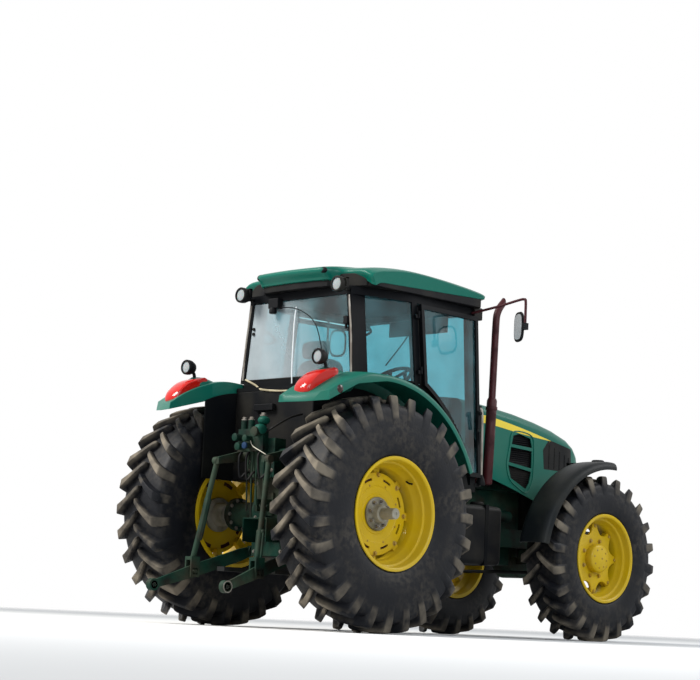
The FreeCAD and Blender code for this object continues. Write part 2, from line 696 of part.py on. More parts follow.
def front_fenders():
    """Black arched fenders that steer with the wheels, each on a bracket from its knuckle."""
    for side_name, side in SIDES:
        y = sorted((side * S.arch_inner, side * S.arch_outer), key=float)
        centre = (front_on + S.arch_forward, front_up - S.arch_drop)
        span = (S.arch_front_angle, S.arch_rear_angle)
        outer = sector("FenderOuter_" + side_name, S.arch_radius, span, y, centre)
        wide = (y[0] - 5, y[1] + 5)
        inner = sector("FenderInner_" + side_name, S.arch_radius - S.arch_skin, (80, 175), wide,
                       centre)
        arch = cut("FenderArch_" + side_name, outer, inner)
        edge = sorted((side * (S.arch_outer - 12), side * S.arch_outer), key=float)
        lip_out = sector("FenderLipOut_" + side_name, S.arch_radius, span, edge, centre)
        wide = (edge[0] - 5, edge[1] + 5)
        lip_in = sector("FenderLipIn_" + side_name, S.arch_radius - S.arch_lip, (80, 175), wide, centre)
        lip = cut("FenderLip_" + side_name, lip_out, lip_in)
        inboard = S.kingpin_half - 86
        bracket_y = sorted((side * inboard, side * (inboard + 24)), key=float)
        foot_low = boss_high + S.seat_gap + S.yoke_wall
        under_skin = S.arch_radius - S.arch_skin
        top = front_up - S.arch_drop + root(under_skin * under_skin - S.arch_forward * S.arch_forward)
        foot = box("FenderFoot_" + side_name, (front_on - 40, front_on + 40),
                   sorted((side * inboard, side * (S.kingpin_half + 40)), key=float),
                   (foot_low, foot_low + 16))
        mast = box("FenderMast_" + side_name, (front_on - 40, front_on + 40), bracket_y,
                   (foot_low, top + 4))
        bar = box("FenderBar_" + side_name, (front_on - 40, front_on + 40),
                  sorted((side * inboard, side * (S.arch_outer - 60)), key=float),
                  (top - 20, top + 4))
        keep("front_fender_" + side_name, fuse("FrontFender_" + side_name, arch, lip, foot, mast, bar))


# Rear fender tail, one row a width: y, rear x, rear low, rear high, then x and height of two
# points up the slope and of the crest, heights counted from the fender's crown
TAIL = (
    (600, -770, -270, -207, -610, -77, -430, 8, -210, 26),
    (790, -690, -263, -200, -570, -100, -420, -20, -210, 16),
    (950, -505, -231, -150, -450, -104, -340, -60, -190, -10),
)
# Tail lamp outline: x and height from the fender's crown
TAIL_LAMP = ((-672, -172), (-588, -66), (-470, -4), (-370, 21), (-350, -42), (-560, -150))
TAIL_FRONT = -20


def arc_height(radius, x):
    """The height of the fender's arc at a station."""
    return arch_up + root(wrap(radius) * radius - wrap(x) * x)


def rear_fenders():
    """Green rear fenders: an arched skin with an outer lip, an inner wall and a humped tail."""
    centre = (0, arch_up)
    both = []
    for side_name, side in SIDES:
        y = sorted((side * S.fender_inner, side * S.fender_outer), key=float)
        wide = (y[0] - 5, y[1] + 5)
        low = S.fender_front_angle
        skin = cut("FenderSkin_" + side_name,
                   sector("SkinOut_" + side_name, fender_radius, (low, 95), y, centre),
                   sector("SkinIn_" + side_name, fender_radius - S.fender_skin, (low - 5, 100), wide,
                          centre))
        edge = sorted((side * (S.fender_outer - 20), side * S.fender_outer), key=float)
        wide = (edge[0] - 5, edge[1] + 5)
        lip = cut("FenderLipRear_" + side_name,
                  sector("LipOut_" + side_name, fender_radius, (low, 118), edge, centre),
                  sector("LipIn_" + side_name, fender_radius - S.fender_lip, (low - 5, 125), wide,
                         centre))
        sections = []
        for row in TAIL:
            out, rear, rear_low, rear_high, x1, z1, x2, z2, x3, z3 = row
            rear_low, rear_high, z1, z2, z3 = (fender_crown + z for z in (rear_low, rear_high, z1, z2, z3))
            under = fender_radius - S.fender_skin
            mid = (TAIL_FRONT + rear) / 2
            points = [(rear, rear_low), (rear + 12, rear_high), (x1, z1), (x2, z2), (x3, z3),
                      (TAIL_FRONT, arc_height(fender_radius, TAIL_FRONT)),
                      (TAIL_FRONT, arc_height(under, TAIL_FRONT)), (mid, arc_height(under, mid))]
            sections.append(polygon([Vector(float(a), side * out, float(b)) for a, b in points]))
        tail = lofted("FenderTail_" + side_name, sections)
        wall_y = sorted((side * (S.fender_inner - S.fender_wall), side * S.fender_inner), key=float)
        disc = rod("FenderDisc_" + side_name, fender_radius, "Y", wall_y, centre)
        window = box("FenderWindow_" + side_name, (-420, 1000), (wall_y[0] - 5, wall_y[1] + 5),
                     (S.floor_bottom, 2000))
        wall = common("FenderWall_" + side_name, disc, window)
        both.append(fuse("RearFender_" + side_name, skin, lip, tail, wall))
    lamps = []
    for side_name, side in SIDES:
        y = sorted((side * 640, side * 775), key=float)
        outline = [(x, fender_crown + z) for x, z in TAIL_LAMP]
        lamps.append(plate("TailLamp_" + side_name, outline, y))
    fenders = [cut("FenderCut_" + name[0], whole, lamp) for name, whole, lamp in zip(SIDES, both, lamps)]
    keep("rear_fenders", group("RearFenders", *fenders))
    keep("tail_lamps", group("TailLamps", *lamps))


# Cab pillars: name, rear and front x, then y at the foot and at the header, and the foot's height
def pillar_rows():
    return (
        ("C", S.c_rear, S.c_front, S.c_low, S.c_high, sill_up),
        ("B", S.b_rear, S.b_front, S.b_low, S.b_high, sill_up),
        ("A", S.a_rear, S.a_front, S.a_low, S.a_high, floor_top),
    )


cab_pieces = []
door_frames = {}


def cab():
    """Floor, rear wall, pillars, rails, fixed glass, roof and what stands inside."""
    inner = S.fender_inner - S.fender_wall
    floor = box("CabFloor", (-S.cab_rear, S.a_front), (-inner, inner), (S.floor_bottom, floor_top))
    rear_wall = box("CabRearWall", (-S.cab_rear, -S.cab_rear + S.cab_wall), (-inner, inner),
                    (floor_top, 1800))
    seat_box = box("SeatBox", (S.cab_wall - S.cab_rear, 560), (-330, 330), (floor_top, 1420))
    keep("cab_floor", fuse("CabFloorSolid", floor, rear_wall, seat_box))
    pieces = []
    for side_name, side in SIDES:
        for name, x0, x1, low, high, foot in pillar_rows():
            corners = []
            for y in (low, high):
                y0, y1 = sorted((side * float(y), side * float(y - S.pillar_wall)))
                corners.append([(x0, y0), (x1, y0), (x1, y1), (x0, y1)])
            pieces.append(post("Pillar%s_%s" % (name, side_name), (corners[0], foot),
                               (corners[1], S.header_bottom)))
        sill = [(S.c_rear, S.c_low), (S.c_front, S.c_low), (S.b_rear, S.b_low), (S.b_front, S.b_low)]
        inside = [(x, y - S.pillar_wall) for x, y in reversed(sill)]
        points = [(x, side * y) for x, y in sill + inside]
        pieces.append(slab("SideSill_" + side_name, points, (sill_up - S.sill_wall, sill_up)))
        y = sorted((side * (S.b_low - S.pillar_wall), side * S.b_low), key=float)
        gap = S.door_gap
        rim = cut("SillRim_" + side_name,
                  sector("SillOut_" + side_name, door_arc - gap, (12, 68), y, (0, arch_up)),
                  sector("SillIn_" + side_name, fender_radius + S.seat_gap, (5, 80),
                         (y[0] - 5, y[1] + 5), (0, arch_up)))
        keepbox = box("SillBox_" + side_name, (S.b_rear, S.a_front), (y[0] - 5, y[1] + 5),
                      (S.floor_bottom, sill_up))
        pieces.append(common("SillPanel_" + side_name, rim, keepbox))
        step = box("DoorStep_" + side_name, (1005, S.a_front),
                   sorted((side * inner, side * S.a_low), key=float), (S.floor_bottom, floor_top))
        pieces.append(step)
    head = []
    for y_sign in (1, -1):
        row = [(S.c_rear, S.c_high), (S.b_rear, S.b_high), (S.b_front, S.b_high), (S.a_front, S.a_high)]
        row = [(x, y_sign * y) for x, y in row]
        head += row if y_sign > 0 else list(reversed(row))
    ring = slab("HeaderOut", head, (S.header_bottom, S.header_top))
    head = []
    for y_sign in (1, -1):
        row = [(S.c_rear + 60, S.c_high - 60), (S.b_rear, S.b_high - 60), (S.b_front, S.b_high - 60),
               (S.a_rear - 20, S.a_high - 60)]
        row = [(x, y_sign * y) for x, y in row]
        head += row if y_sign > 0 else list(reversed(row))
    hole = slab("HeaderIn", head, (S.header_bottom - 5, S.header_top + 5))
    rear_sill = box("RearSill", (S.c_rear, S.c_rear + 60), (-inner, inner),
                    (sill_up - 70, sill_up))
    rear_post = box("RearSillWall", (-S.cab_rear, S.c_rear + 60), (-inner, inner),
                    (1800, 1830))
    fire_half = S.a_low - 30
    firewall = box("Firewall", (S.a_front - S.cab_wall, S.a_front), (-fire_half, fire_half),
                   (floor_top, S.scuttle_up))
    scuttle = box("Scuttle", (S.a_front - 25, S.a_front), (-(S.a_low - 60), S.a_low - 60),
                  (S.scuttle_up, S.scuttle_up + S.scuttle_wall))
    cab_pieces.extend([cut("Header", ring, hole), rear_sill, rear_post, firewall, scuttle] + pieces)


def pane(name, low, high, wall=None):
    """A flat pane between two level edges, each ((x, y), (x, y), z), its thickness set inward."""
    wall = float(wall if wall is not None else S.glass_wall)
    wires = []
    for (ax, ay), (bx, by), z in (low, high):
        ax, ay, bx, by, z = (float(n) for n in (ax, ay, bx, by, z))
        long = math.hypot(bx - ax, by - ay)
        nx, ny = -(by - ay) / long, (bx - ax) / long
        inward = -1 if nx * (ax + bx - 1200) + ny * (ay + by) > 0 else 1
        if abs(ny) > abs(nx):
            dx, dy = 0.0, wall * inward / ny
        else:
            dx, dy = wall * inward / nx, 0.0
        wires.append(polygon([Vector(ax, ay, z), Vector(bx, by, z), Vector(bx + dx, by + dy, z),
                              Vector(ax + dx, ay + dy, z)]))
    return lofted(name, wires)


def glass():
    """Windscreen, rear window and quarter windows, each seated between its pillars."""
    seat = float(S.seat_gap)
    panes = []
    inset = 12
    top = S.header_bottom - seat
    low = sill_up + seat
    for side_name, side in SIDES:
        panes.append(pane(
            "QuarterGlass_" + side_name,
            ((S.c_front + seat, side * (S.c_low - inset)), (S.b_rear - seat, side * (S.b_low - inset)), low),
            ((S.c_front + seat, side * (S.c_high - inset)), (S.b_rear - seat, side * (S.b_high - inset)),
             top)))
    foot_share = (S.scuttle_up + S.scuttle_wall - floor_top) / (S.header_bottom - floor_top)
    y_high = S.a_high - S.pillar_wall - seat
    y_low = S.a_low - S.pillar_wall - seat + (S.a_high - S.a_low) * foot_share
    panes.append(pane("Windscreen", ((S.a_front - 15, -y_low), (S.a_front - 15, y_low),
                                     S.scuttle_up + S.scuttle_wall + seat),
                      ((S.a_front - 15, -y_high), (S.a_front - 15, y_high), top)))
    y_low, y_high = S.c_low - S.pillar_wall - seat, S.c_high - S.pillar_wall - seat
    panes.append(pane("RearGlass", ((S.c_rear + 10, -y_low), (S.c_rear + 10, y_low), low),
                      ((S.c_rear + 10, -y_high), (S.c_rear + 10, y_high), top)))
    keep("cab_glass", group("CabGlass", *panes))


# Roof, one row a width: y, then x and z of the rear low, rear high, two crown and front corners
ROOF = (
    (715, (60, 2575), (40, 2655), (400, 2712), (800, 2704), (1240, 2664), (1290, 2612)),
    (620, (-10, 2570), (-45, 2665), (350, 2740), (860, 2733), (1325, 2692), (1345, 2625)),
    (480, (-62, 2566), (-105, 2676), (350, 2750), (860, 2744), (1340, 2700), (1358, 2629)),
    (0, (-90, 2566), (-145, 2684), (350, 2755), (860, 2750), (1345, 2706), (1365, 2632)),
)


# Rise of the roof's arcs above their chords: rear slope, crown, front slope and front face
ROOF_RISES = (14, 8, 6, 5)


def roof():
    """The green roof, crowned along and across, its rear corners drawn in for the lamps."""
    rows = [(y, points) for y, *points in ROOF]
    rows += [(-y, points) for y, points in reversed(rows[:-1])]
    sections = []
    for y, points in rows:
        corners = [Vector(x, y, z) for x, z in points]
        edges = [Part.makeLine(corners[0], corners[1])]
        for start, end, rise in zip(corners[1:], corners[2:], ROOF_RISES):
            along = (end - start).normalize()
            edges.append(arc_edge(start, (start + end) / 2 + Vector(-along.z, 0, along.x) * rise, end))
        front = Vector(1270, y, float(S.roof_bottom))
        rear = Vector(points[0][0] + 8, y, float(S.roof_bottom))
        edges += [Part.makeLine(corners[-1], front), Part.makeLine(front, rear),
                  Part.makeLine(rear, corners[0])]
        sections.append(Part.Wire(edges))
    keep("roof", lofted("Roof", sections))


def doors():
    """Glazed doors hinged at the B pillars, their lower edge following the fender."""
    seat = S.seat_gap
    gap = S.door_gap
    for side_name, side in SIDES:
        solids = {}
        for part, wall, border, out in (
            ("frame", S.door_wall, 0, 0), ("hole", 200, float(S.door_border), -60),
            ("glass", S.glass_wall, float(S.door_border) + float(seat), 14),
        ):
            x0, x1 = float(S.b_front + gap) + border, float(S.a_front) + 20 - border
            z0, z1 = float(S.door_bottom) + border, float(S.door_top) - border
            edges = []
            for z in (z0, z1):
                share_b = (z - float(sill_up)) / float(S.header_bottom - sill_up)
                share_a = (z - float(floor_top)) / float(S.header_bottom - floor_top)
                yb = float(S.b_low) + (float(S.b_high) - float(S.b_low)) * share_b
                ya = float(S.a_low) + (float(S.a_high) - float(S.a_low)) * share_a
                edges.append(((x0, side * (yb - out + 40)), (x1, side * (ya - out + 40)), z))
            solids[part] = pane("Door%s_%s" % (part, side_name), edges[0], edges[1], wall)
        y = sorted((side * 400, side * 900), key=float)
        arcs = {}
        for part, extra in (("frame", 0), ("hole", S.door_border), ("glass", S.door_border + seat)):
            arcs[part] = rod("DoorArc_%s_%s" % (part, side_name), door_arc + extra, "Y", y,
                             (0, arch_up))
        frame = cut("DoorOuter_" + side_name, solids["frame"], arcs["frame"])
        hole = cut("DoorHole_" + side_name, solids["hole"], arcs["hole"])
        door_frames[side_name] = cut("DoorFrame_" + side_name, frame, hole)
        keep("door_%s_glass" % side_name, cut("DoorGlass_" + side_name, solids["glass"], arcs["glass"]))


def hinge_line(side):
    """The leaning hinge line of a door: its foot, its head and its direction."""
    x = S.b_front - 10
    out = S.door_gap + S.door_wall / 2
    foot = Vector(float(x), side * float(S.b_low + out), float(sill_up))
    head = Vector(float(x), side * float(S.b_high + out), float(S.header_bottom))
    return foot, head, (head - foot).normalize()


def door_hinges():
    """Two hinges a door: a leaf and barrel on the pillar, and a barrel and arm on the door."""
    for side_name, side in SIDES:
        foot, head, up = hinge_line(side)
        turn = Rotation(Vector(0, 0, 1), up)
        long = (head - foot).Length
        leaves = []
        arms = []
        for label, along in (("low", 60.0), ("high", long - 120.0)):
            at = foot + up * along
            for part, start, tall in (("leaf", 0.0, 28.0), ("arm", 28.0 + float(S.seat_gap), 28.0)):
                base = at + up * start
                barrel_piece = doc.addObject("Part::Cylinder", "Hinge_%s_%s_%s" % (part, label, side_name))
                bind(barrel_piece, "Radius", S.hinge_radius)
                barrel_piece.Height = tall
                shift = Vector(float(origin_shift), 0, 0)
                barrel_piece.Placement = Placement(base + shift, turn)
                tab = doc.addObject("Part::Box", "HingeTab_%s_%s_%s" % (part, label, side_name))
                tab.Height = tall
                if part == "leaf":
                    tab.Length, tab.Width = 30, 24
                    offset = turn.multVec(Vector(-32, -24 if side > 0 else 0, 0))
                else:
                    tab.Length, tab.Width = 30, 12
                    offset = turn.multVec(Vector(0, -6, 0))
                tab.Placement = Placement(base + shift + offset, turn)
                (leaves if part == "leaf" else arms).extend((barrel_piece, tab))
        handle = rod("DoorHandle_" + side_name, 9, "Z", (1480, 1580), (1253, side * 738))
        keep("door_%s_frame" % side_name,
             fuse("DoorWhole_" + side_name, door_frames[side_name], handle, *arms))
        cab_pieces.extend(leaves)


def cab_inside():
    """Seat, dash and steering wheel."""
    cushion = plate("SeatCushion", [(190, 1420), (640, 1420), (660, 1500), (640, 1560), (230, 1540)],
                    (-240, 240))
    back = plate("SeatBack", [(190, 1540), (270, 1540), (200, 2060), (130, 2060), (110, 2000)],
                 (-230, 230))
    rest = plate("HeadRest", [(125, 2060), (195, 2060), (180, 2200), (120, 2200)], (-130, 130))
    keep("seat", fuse("Seat", cushion, back, rest))
    console = plate("Console", [
        (1030, floor_top), (1224, floor_top), (1224, 1850), (1130, 1850), (1060, 1700)], (-170, 170))
    centre = Vector(980, 0, 1985)
    shift = Vector(float(origin_shift), 0, 0)
    lean = Rotation(Vector(0, 1, 0), -38)
    column_top = 150.0
    column = doc.addObject("Part::Cylinder", "SteeringColumn")
    column.Radius, column.Height = 32, 120
    column.Placement = Placement(centre + shift + lean.multVec(Vector(0, 0, -column_top - 120)), lean)
    keep("dash", fuse("Dash", console, column))
    ring = []
    for index in range(10):
        angle = math.radians(36 * index)
        ring.append((195 + 15 * math.cos(angle), 15 * math.sin(angle)))
    wheel = turned("SteeringRim", ring, centre.x, centre.y, centre.z,
                   turn_to=lean.multiply(Rotation(Vector(1, 0, 0), 90)))
    hub = doc.addObject("Part::Cylinder", "SteeringHub")
    hub.Radius, hub.Height = 45, 40
    hub.Placement = Placement(centre + shift + lean.multVec(Vector(0, 0, -30)), lean)
    spokes = []
    for index in range(3):
        spoke = doc.addObject("Part::Box", "SteeringSpoke%d" % index)
        spoke.Length, spoke.Width, spoke.Height = 190, 34, 12
        turn = lean.multiply(Rotation(Vector(0, 0, 1), 90 + 120 * index))
        spoke.Placement = Placement(centre + shift + turn.multVec(Vector(0, -17, -8)), turn)
        spokes.append(spoke)
    shaft_low = -column_top + float(S.seat_gap)
    shaft = doc.addObject("Part::Cylinder", "SteeringShaft")
    shaft.Radius, shaft.Height = 19, -shaft_low - 20
    shaft.Placement = Placement(centre + shift + lean.multVec(Vector(0, 0, shaft_low)), lean)
    keep("steering_wheel", fuse("SteeringWheel", wheel, hub, shaft, *spokes))


# Hood sections, one row a station: x, half width, foot, shoulder and crown heights
HOOD = (
    (1430, 392, 1290, 1810, 1905),
    (1800, 396, 1270, 1775, 1880),
    (2120, 391, 1195, 1741, 1850),
    (2400, 380, 1120, 1700, 1812),
    (2640, 368, 1062, 1655, 1768),
    (2850, 350, 1012, 1598, 1712),
    (2940, 336, 1000, 1556, 1670),
    (2990, 322, 994, 1514, 1627),
    (3030, 300, 990, 1460, 1565),
)
# Side vents and the headlamp, each an outline of x and height
HOOD_VENTS = (
    ((2075, 1640), (2150, 1662), (2305, 1635), (2330, 1560), (2060, 1570)),
    ((2050, 1545), (2328, 1533), (2330, 1390), (2030, 1420)),
    ((2022, 1395), (2328, 1362), (2305, 1270), (2260, 1215), (2060, 1290)),
)
HEADLAMP = ((2500, 1400), (2860, 1400), (2900, 1470), (2890, 1600), (2560, 1650), (2480, 1560))


def arc_edge(start, middle, end):
    """An arc through three points."""
    return Part.Arc(start, middle, end).toShape()


def hood_section(x, half, foot, shoulder, crown, inset):
    """One section of the hood: upright sides, round shoulders and a crowned top, set in by the wall."""
    half, shoulder, crown = half - inset, shoulder - inset * 0.4, crown - inset
    bend = 0.78 * (crown - shoulder)
    cut_off = bend * (1 - math.sqrt(0.5))
    edges = [Part.makeLine(Vector(x, -half, foot), Vector(x, -half, shoulder))]
    edges.append(arc_edge(Vector(x, -half, shoulder), Vector(x, cut_off - half, shoulder + bend - cut_off),
                          Vector(x, bend - half, shoulder + bend)))
    edges.append(arc_edge(Vector(x, bend - half, shoulder + bend), Vector(x, 0, crown),
                          Vector(x, half - bend, shoulder + bend)))
    edges.append(arc_edge(Vector(x, half - bend, shoulder + bend),
                          Vector(x, half - cut_off, shoulder + bend - cut_off), Vector(x, half, shoulder)))
    edges.append(Part.makeLine(Vector(x, half, shoulder), Vector(x, half, foot)))
    edges.append(Part.makeLine(Vector(x, half, foot), Vector(x, -half, foot)))
    return Part.Wire(edges)


def hood():
    """The one-piece hood shell with side vents and an open front, its grille and headlamps."""
    wall = float(S.hood_wall)
    outer = lofted("HoodOuter", [hood_section(*row, 0) for row in HOOD])
    inner_rows = [list(row) for row in HOOD]
    inner_rows[0][0] -= 5
    inner_rows[-1][0] -= wall
    for row in inner_rows:
        row[2] -= 30
    inner = lofted("HoodInner", [hood_section(*row, wall) for row in inner_rows])
    vents = [plate("HoodVent%d" % index, points, (-600, 600)) for index, points in enumerate(HOOD_VENTS)]
    front = box("HoodFrontOpening", (2960, 3100), (-250, 250), (1040, 1440))
    lamp_holes = []
    for side_name, side in SIDES:
        lamp_holes.append(plate("LampHole_" + side_name, HEADLAMP, sorted((side * 250, side * 600))))
    shell = cut("HoodShell", outer, inner, front, *(vents + lamp_holes))
    hinge = (S.hood_hinge_x, S.hood_hinge_up)
    ears = []
    for side_name, side in SIDES:
        y = sorted((side * S.hood_ear_out, side * (S.hood_ear_out + S.hood_ear_wall)), key=float)
        ears.append(box("HoodEar_" + side_name, (S.hood_hinge_x - 22, S.hood_hinge_x + 22), y,
                        (S.hood_hinge_up - 22, S.hood_hinge_up + 100)))
    bore = rod("HoodEarBore", S.hood_hinge_pin + S.run_gap, "Y", (-300, 300), hinge)
    keep("hood", cut("Hood", fuse("HoodWhole", shell, *ears), bore))
    pin_reach = S.hood_ear_out + S.hood_ear_wall + 6
    cowl = box("Cowl", (S.engine_rear + 4, S.engine_rear + 40), (-S.frame_half, S.frame_half),
               (S.engine_top, S.hood_hinge_up))
    pin = rod("HoodPin", S.hood_hinge_pin, "Y", (-pin_reach, pin_reach), hinge)
    keep("hood_cowl", fuse("HoodCowl", cowl, pin))
    nose = HOOD[-1][0]
    cap = nose - S.hood_wall - S.seat_gap
    bars = [box("GrilleBar%d" % index, (cap - 2, nose - 3), (-249, 249),
                (1052 + 48 * index, 1064 + 48 * index)) for index in range(8)]
    mesh = box("GrilleBack", (cap - 12, cap), (-266, 266), (1024, 1456))
    keep("grille", fuse("Grille", mesh, *bars))
    lamps = []
    for side_name, side in SIDES:
        lamp = plate("HeadLampBlank_" + side_name, HEADLAMP, sorted((side * 300, side * 500)))
        lamps.append(common("HeadLamp_" + side_name, lamp, outer))
    keep("headlamps", group("HeadLamps", *lamps))


def radiator_and_weights():
    """The radiator behind the grille and the front weights on their bracket."""
    keep("radiator", box("Radiator", (2520, 2700), (-270, 270),
                         (S.rail_bottom + S.rail_height, 1500)))
    half = S.weight_half
    bracket = box("WeightBracket", (frame_nose, weight_start), (-half, half), (690, 850))
    plates = []
    for index in range(8):
        y = -228 + 57 * index
        plates.append(box("Weight%d" % index, (weight_start, front_reach), (y, y + 56), (560, 930)))
    keep("front_weights", fuse("FrontWeights", bracket, *plates))


def exhaust_and_mirrors():
    """The exhaust stack beside the hood, and a mirror on each front roof corner."""
    y = -S.exhaust_out
    base = S.exhaust_base
    muffler = strut("Muffler", S.muffler_radius, (base, y, S.exhaust_branch_up - 35), (base + 28, y, 1870))
    bend = (base + 46, y, S.exhaust_top - 95)
    pipe = strut("Stack", S.pipe_radius, (base + 27, y, 1850), bend)
    elbow = doc.addObject("Part::Sphere", "StackElbow")
    bind(elbow, "Radius", S.pipe_radius)
    place(elbow, *bend)
    tip = strut("StackTip", S.pipe_radius, bend, (base + 118, y, S.exhaust_top + 2))
    trim = box("StackTrim", (base, base + 220), (y - 60, y + 60), (S.exhaust_top, S.exhaust_top + 80))
    branch = rod("ExhaustBranch", S.pipe_radius, "Y", (y, -S.frame_half), (base, S.exhaust_branch_up))
    keep("exhaust", cut("ExhaustTrimmed", fuse("Exhaust", muffler, pipe, elbow, tip, branch), trim))
    arms = []
    for side_name, side in SIDES:
        elbow = (S.mirror_forward, side * S.mirror_out, S.mirror_up)
        across = strut("MirrorArm_" + side_name, 11, (S.a_front - 15, side * (S.a_high + 4), 2520), elbow)
        down = rod("MirrorStem_" + side_name, 11, "Z", (S.mirror_up - 300, S.mirror_up + 8),
                   (S.mirror_forward, side * S.mirror_out))
        head = doc.addObject("Part::Box", "MirrorHead_" + side_name)
        head.Length, head.Width, head.Height = 38, 190, 240
        turn = Rotation(Vector(0, 0, 1), side * float(S.mirror_turn))
        corner = turn.multVec(Vector(-19, -180 if side > 0 else -10, 0))
        head.Placement = Placement(Vector(
            float(origin_shift + S.mirror_forward), side * float(S.mirror_out),
            float(S.mirror_up) - 335) + corner, turn)
        arms.append(fuse("Mirror_" + side_name, across, down, head))
    keep("mirrors", group("Mirrors", *arms))


def work_lamps():
    """Round lamps: two on stalks on the rear fenders and two under the roof's rear corners."""
    lamps = []
    for side_name, side in SIDES:
        round_lamp = rod("FenderLamp_" + side_name, 48, "X", (-520, -440), (side * 723, 1970))
        stalk = rod("LampStalk_" + side_name, 12, "Z", (1877.2, 1972), (-330, side * 723))
        reach = rod("LampReach_" + side_name, 12, "X", (-450, -330), (side * 723, 1960))
        lamps.append(fuse("FenderWorkLamp_" + side_name, round_lamp, stalk, reach))
        high = rod("RoofLamp_" + side_name, 48, "X", (-160, -100), (side * 530, 2557))
        arm = rod("RoofLampArm_" + side_name, 12, "X", (-104, S.c_rear), (side * 530, 2530))
        lamps.append(fuse("RoofWorkLamp_" + side_name, high, arm))
    keep("work_lamps", group("WorkLamps", *lamps))


def tank_and_steps():
    """The fuel tank on the right, and the battery box with its steps on the left."""
    inner = S.frame_half + S.rail_wall
    keep("fuel_tank", box("FuelTank", (930, S.tank_front), (-S.tank_out, -inner), (S.tank_low, S.tank_high)))
    ladder = [box("BatteryBox", (930, 1520), (inner, S.tank_out), (S.tank_low + 40, S.tank_high))]
    for index, low in enumerate((440, 690, 920)):
        ladder.append(box("Step%d" % index, (1000, 1300), (S.tank_out, S.step_out), (low, low + 24)))
    for index, x in enumerate((1000, 1288)):
        ladder.append(box("StepSide%d" % index, (x, x + 12), (S.tank_out, S.tank_out + 60),
                          (440, S.floor_bottom)))
    keep("steps", fuse("Steps", *ladder))


# Valve towers (y, radius, top) and the rearward coupler caps (y, height, radius)
VALVE_TOWERS = ((167, 24, 1540), (88, 24, 1540), (-40, 27, 1566))
VALVE_CAPS = ((172, 1405, 26), (140, 1335, 26), (-38, 1440, 34), (62, 1395, 22), (62, 1340, 22))


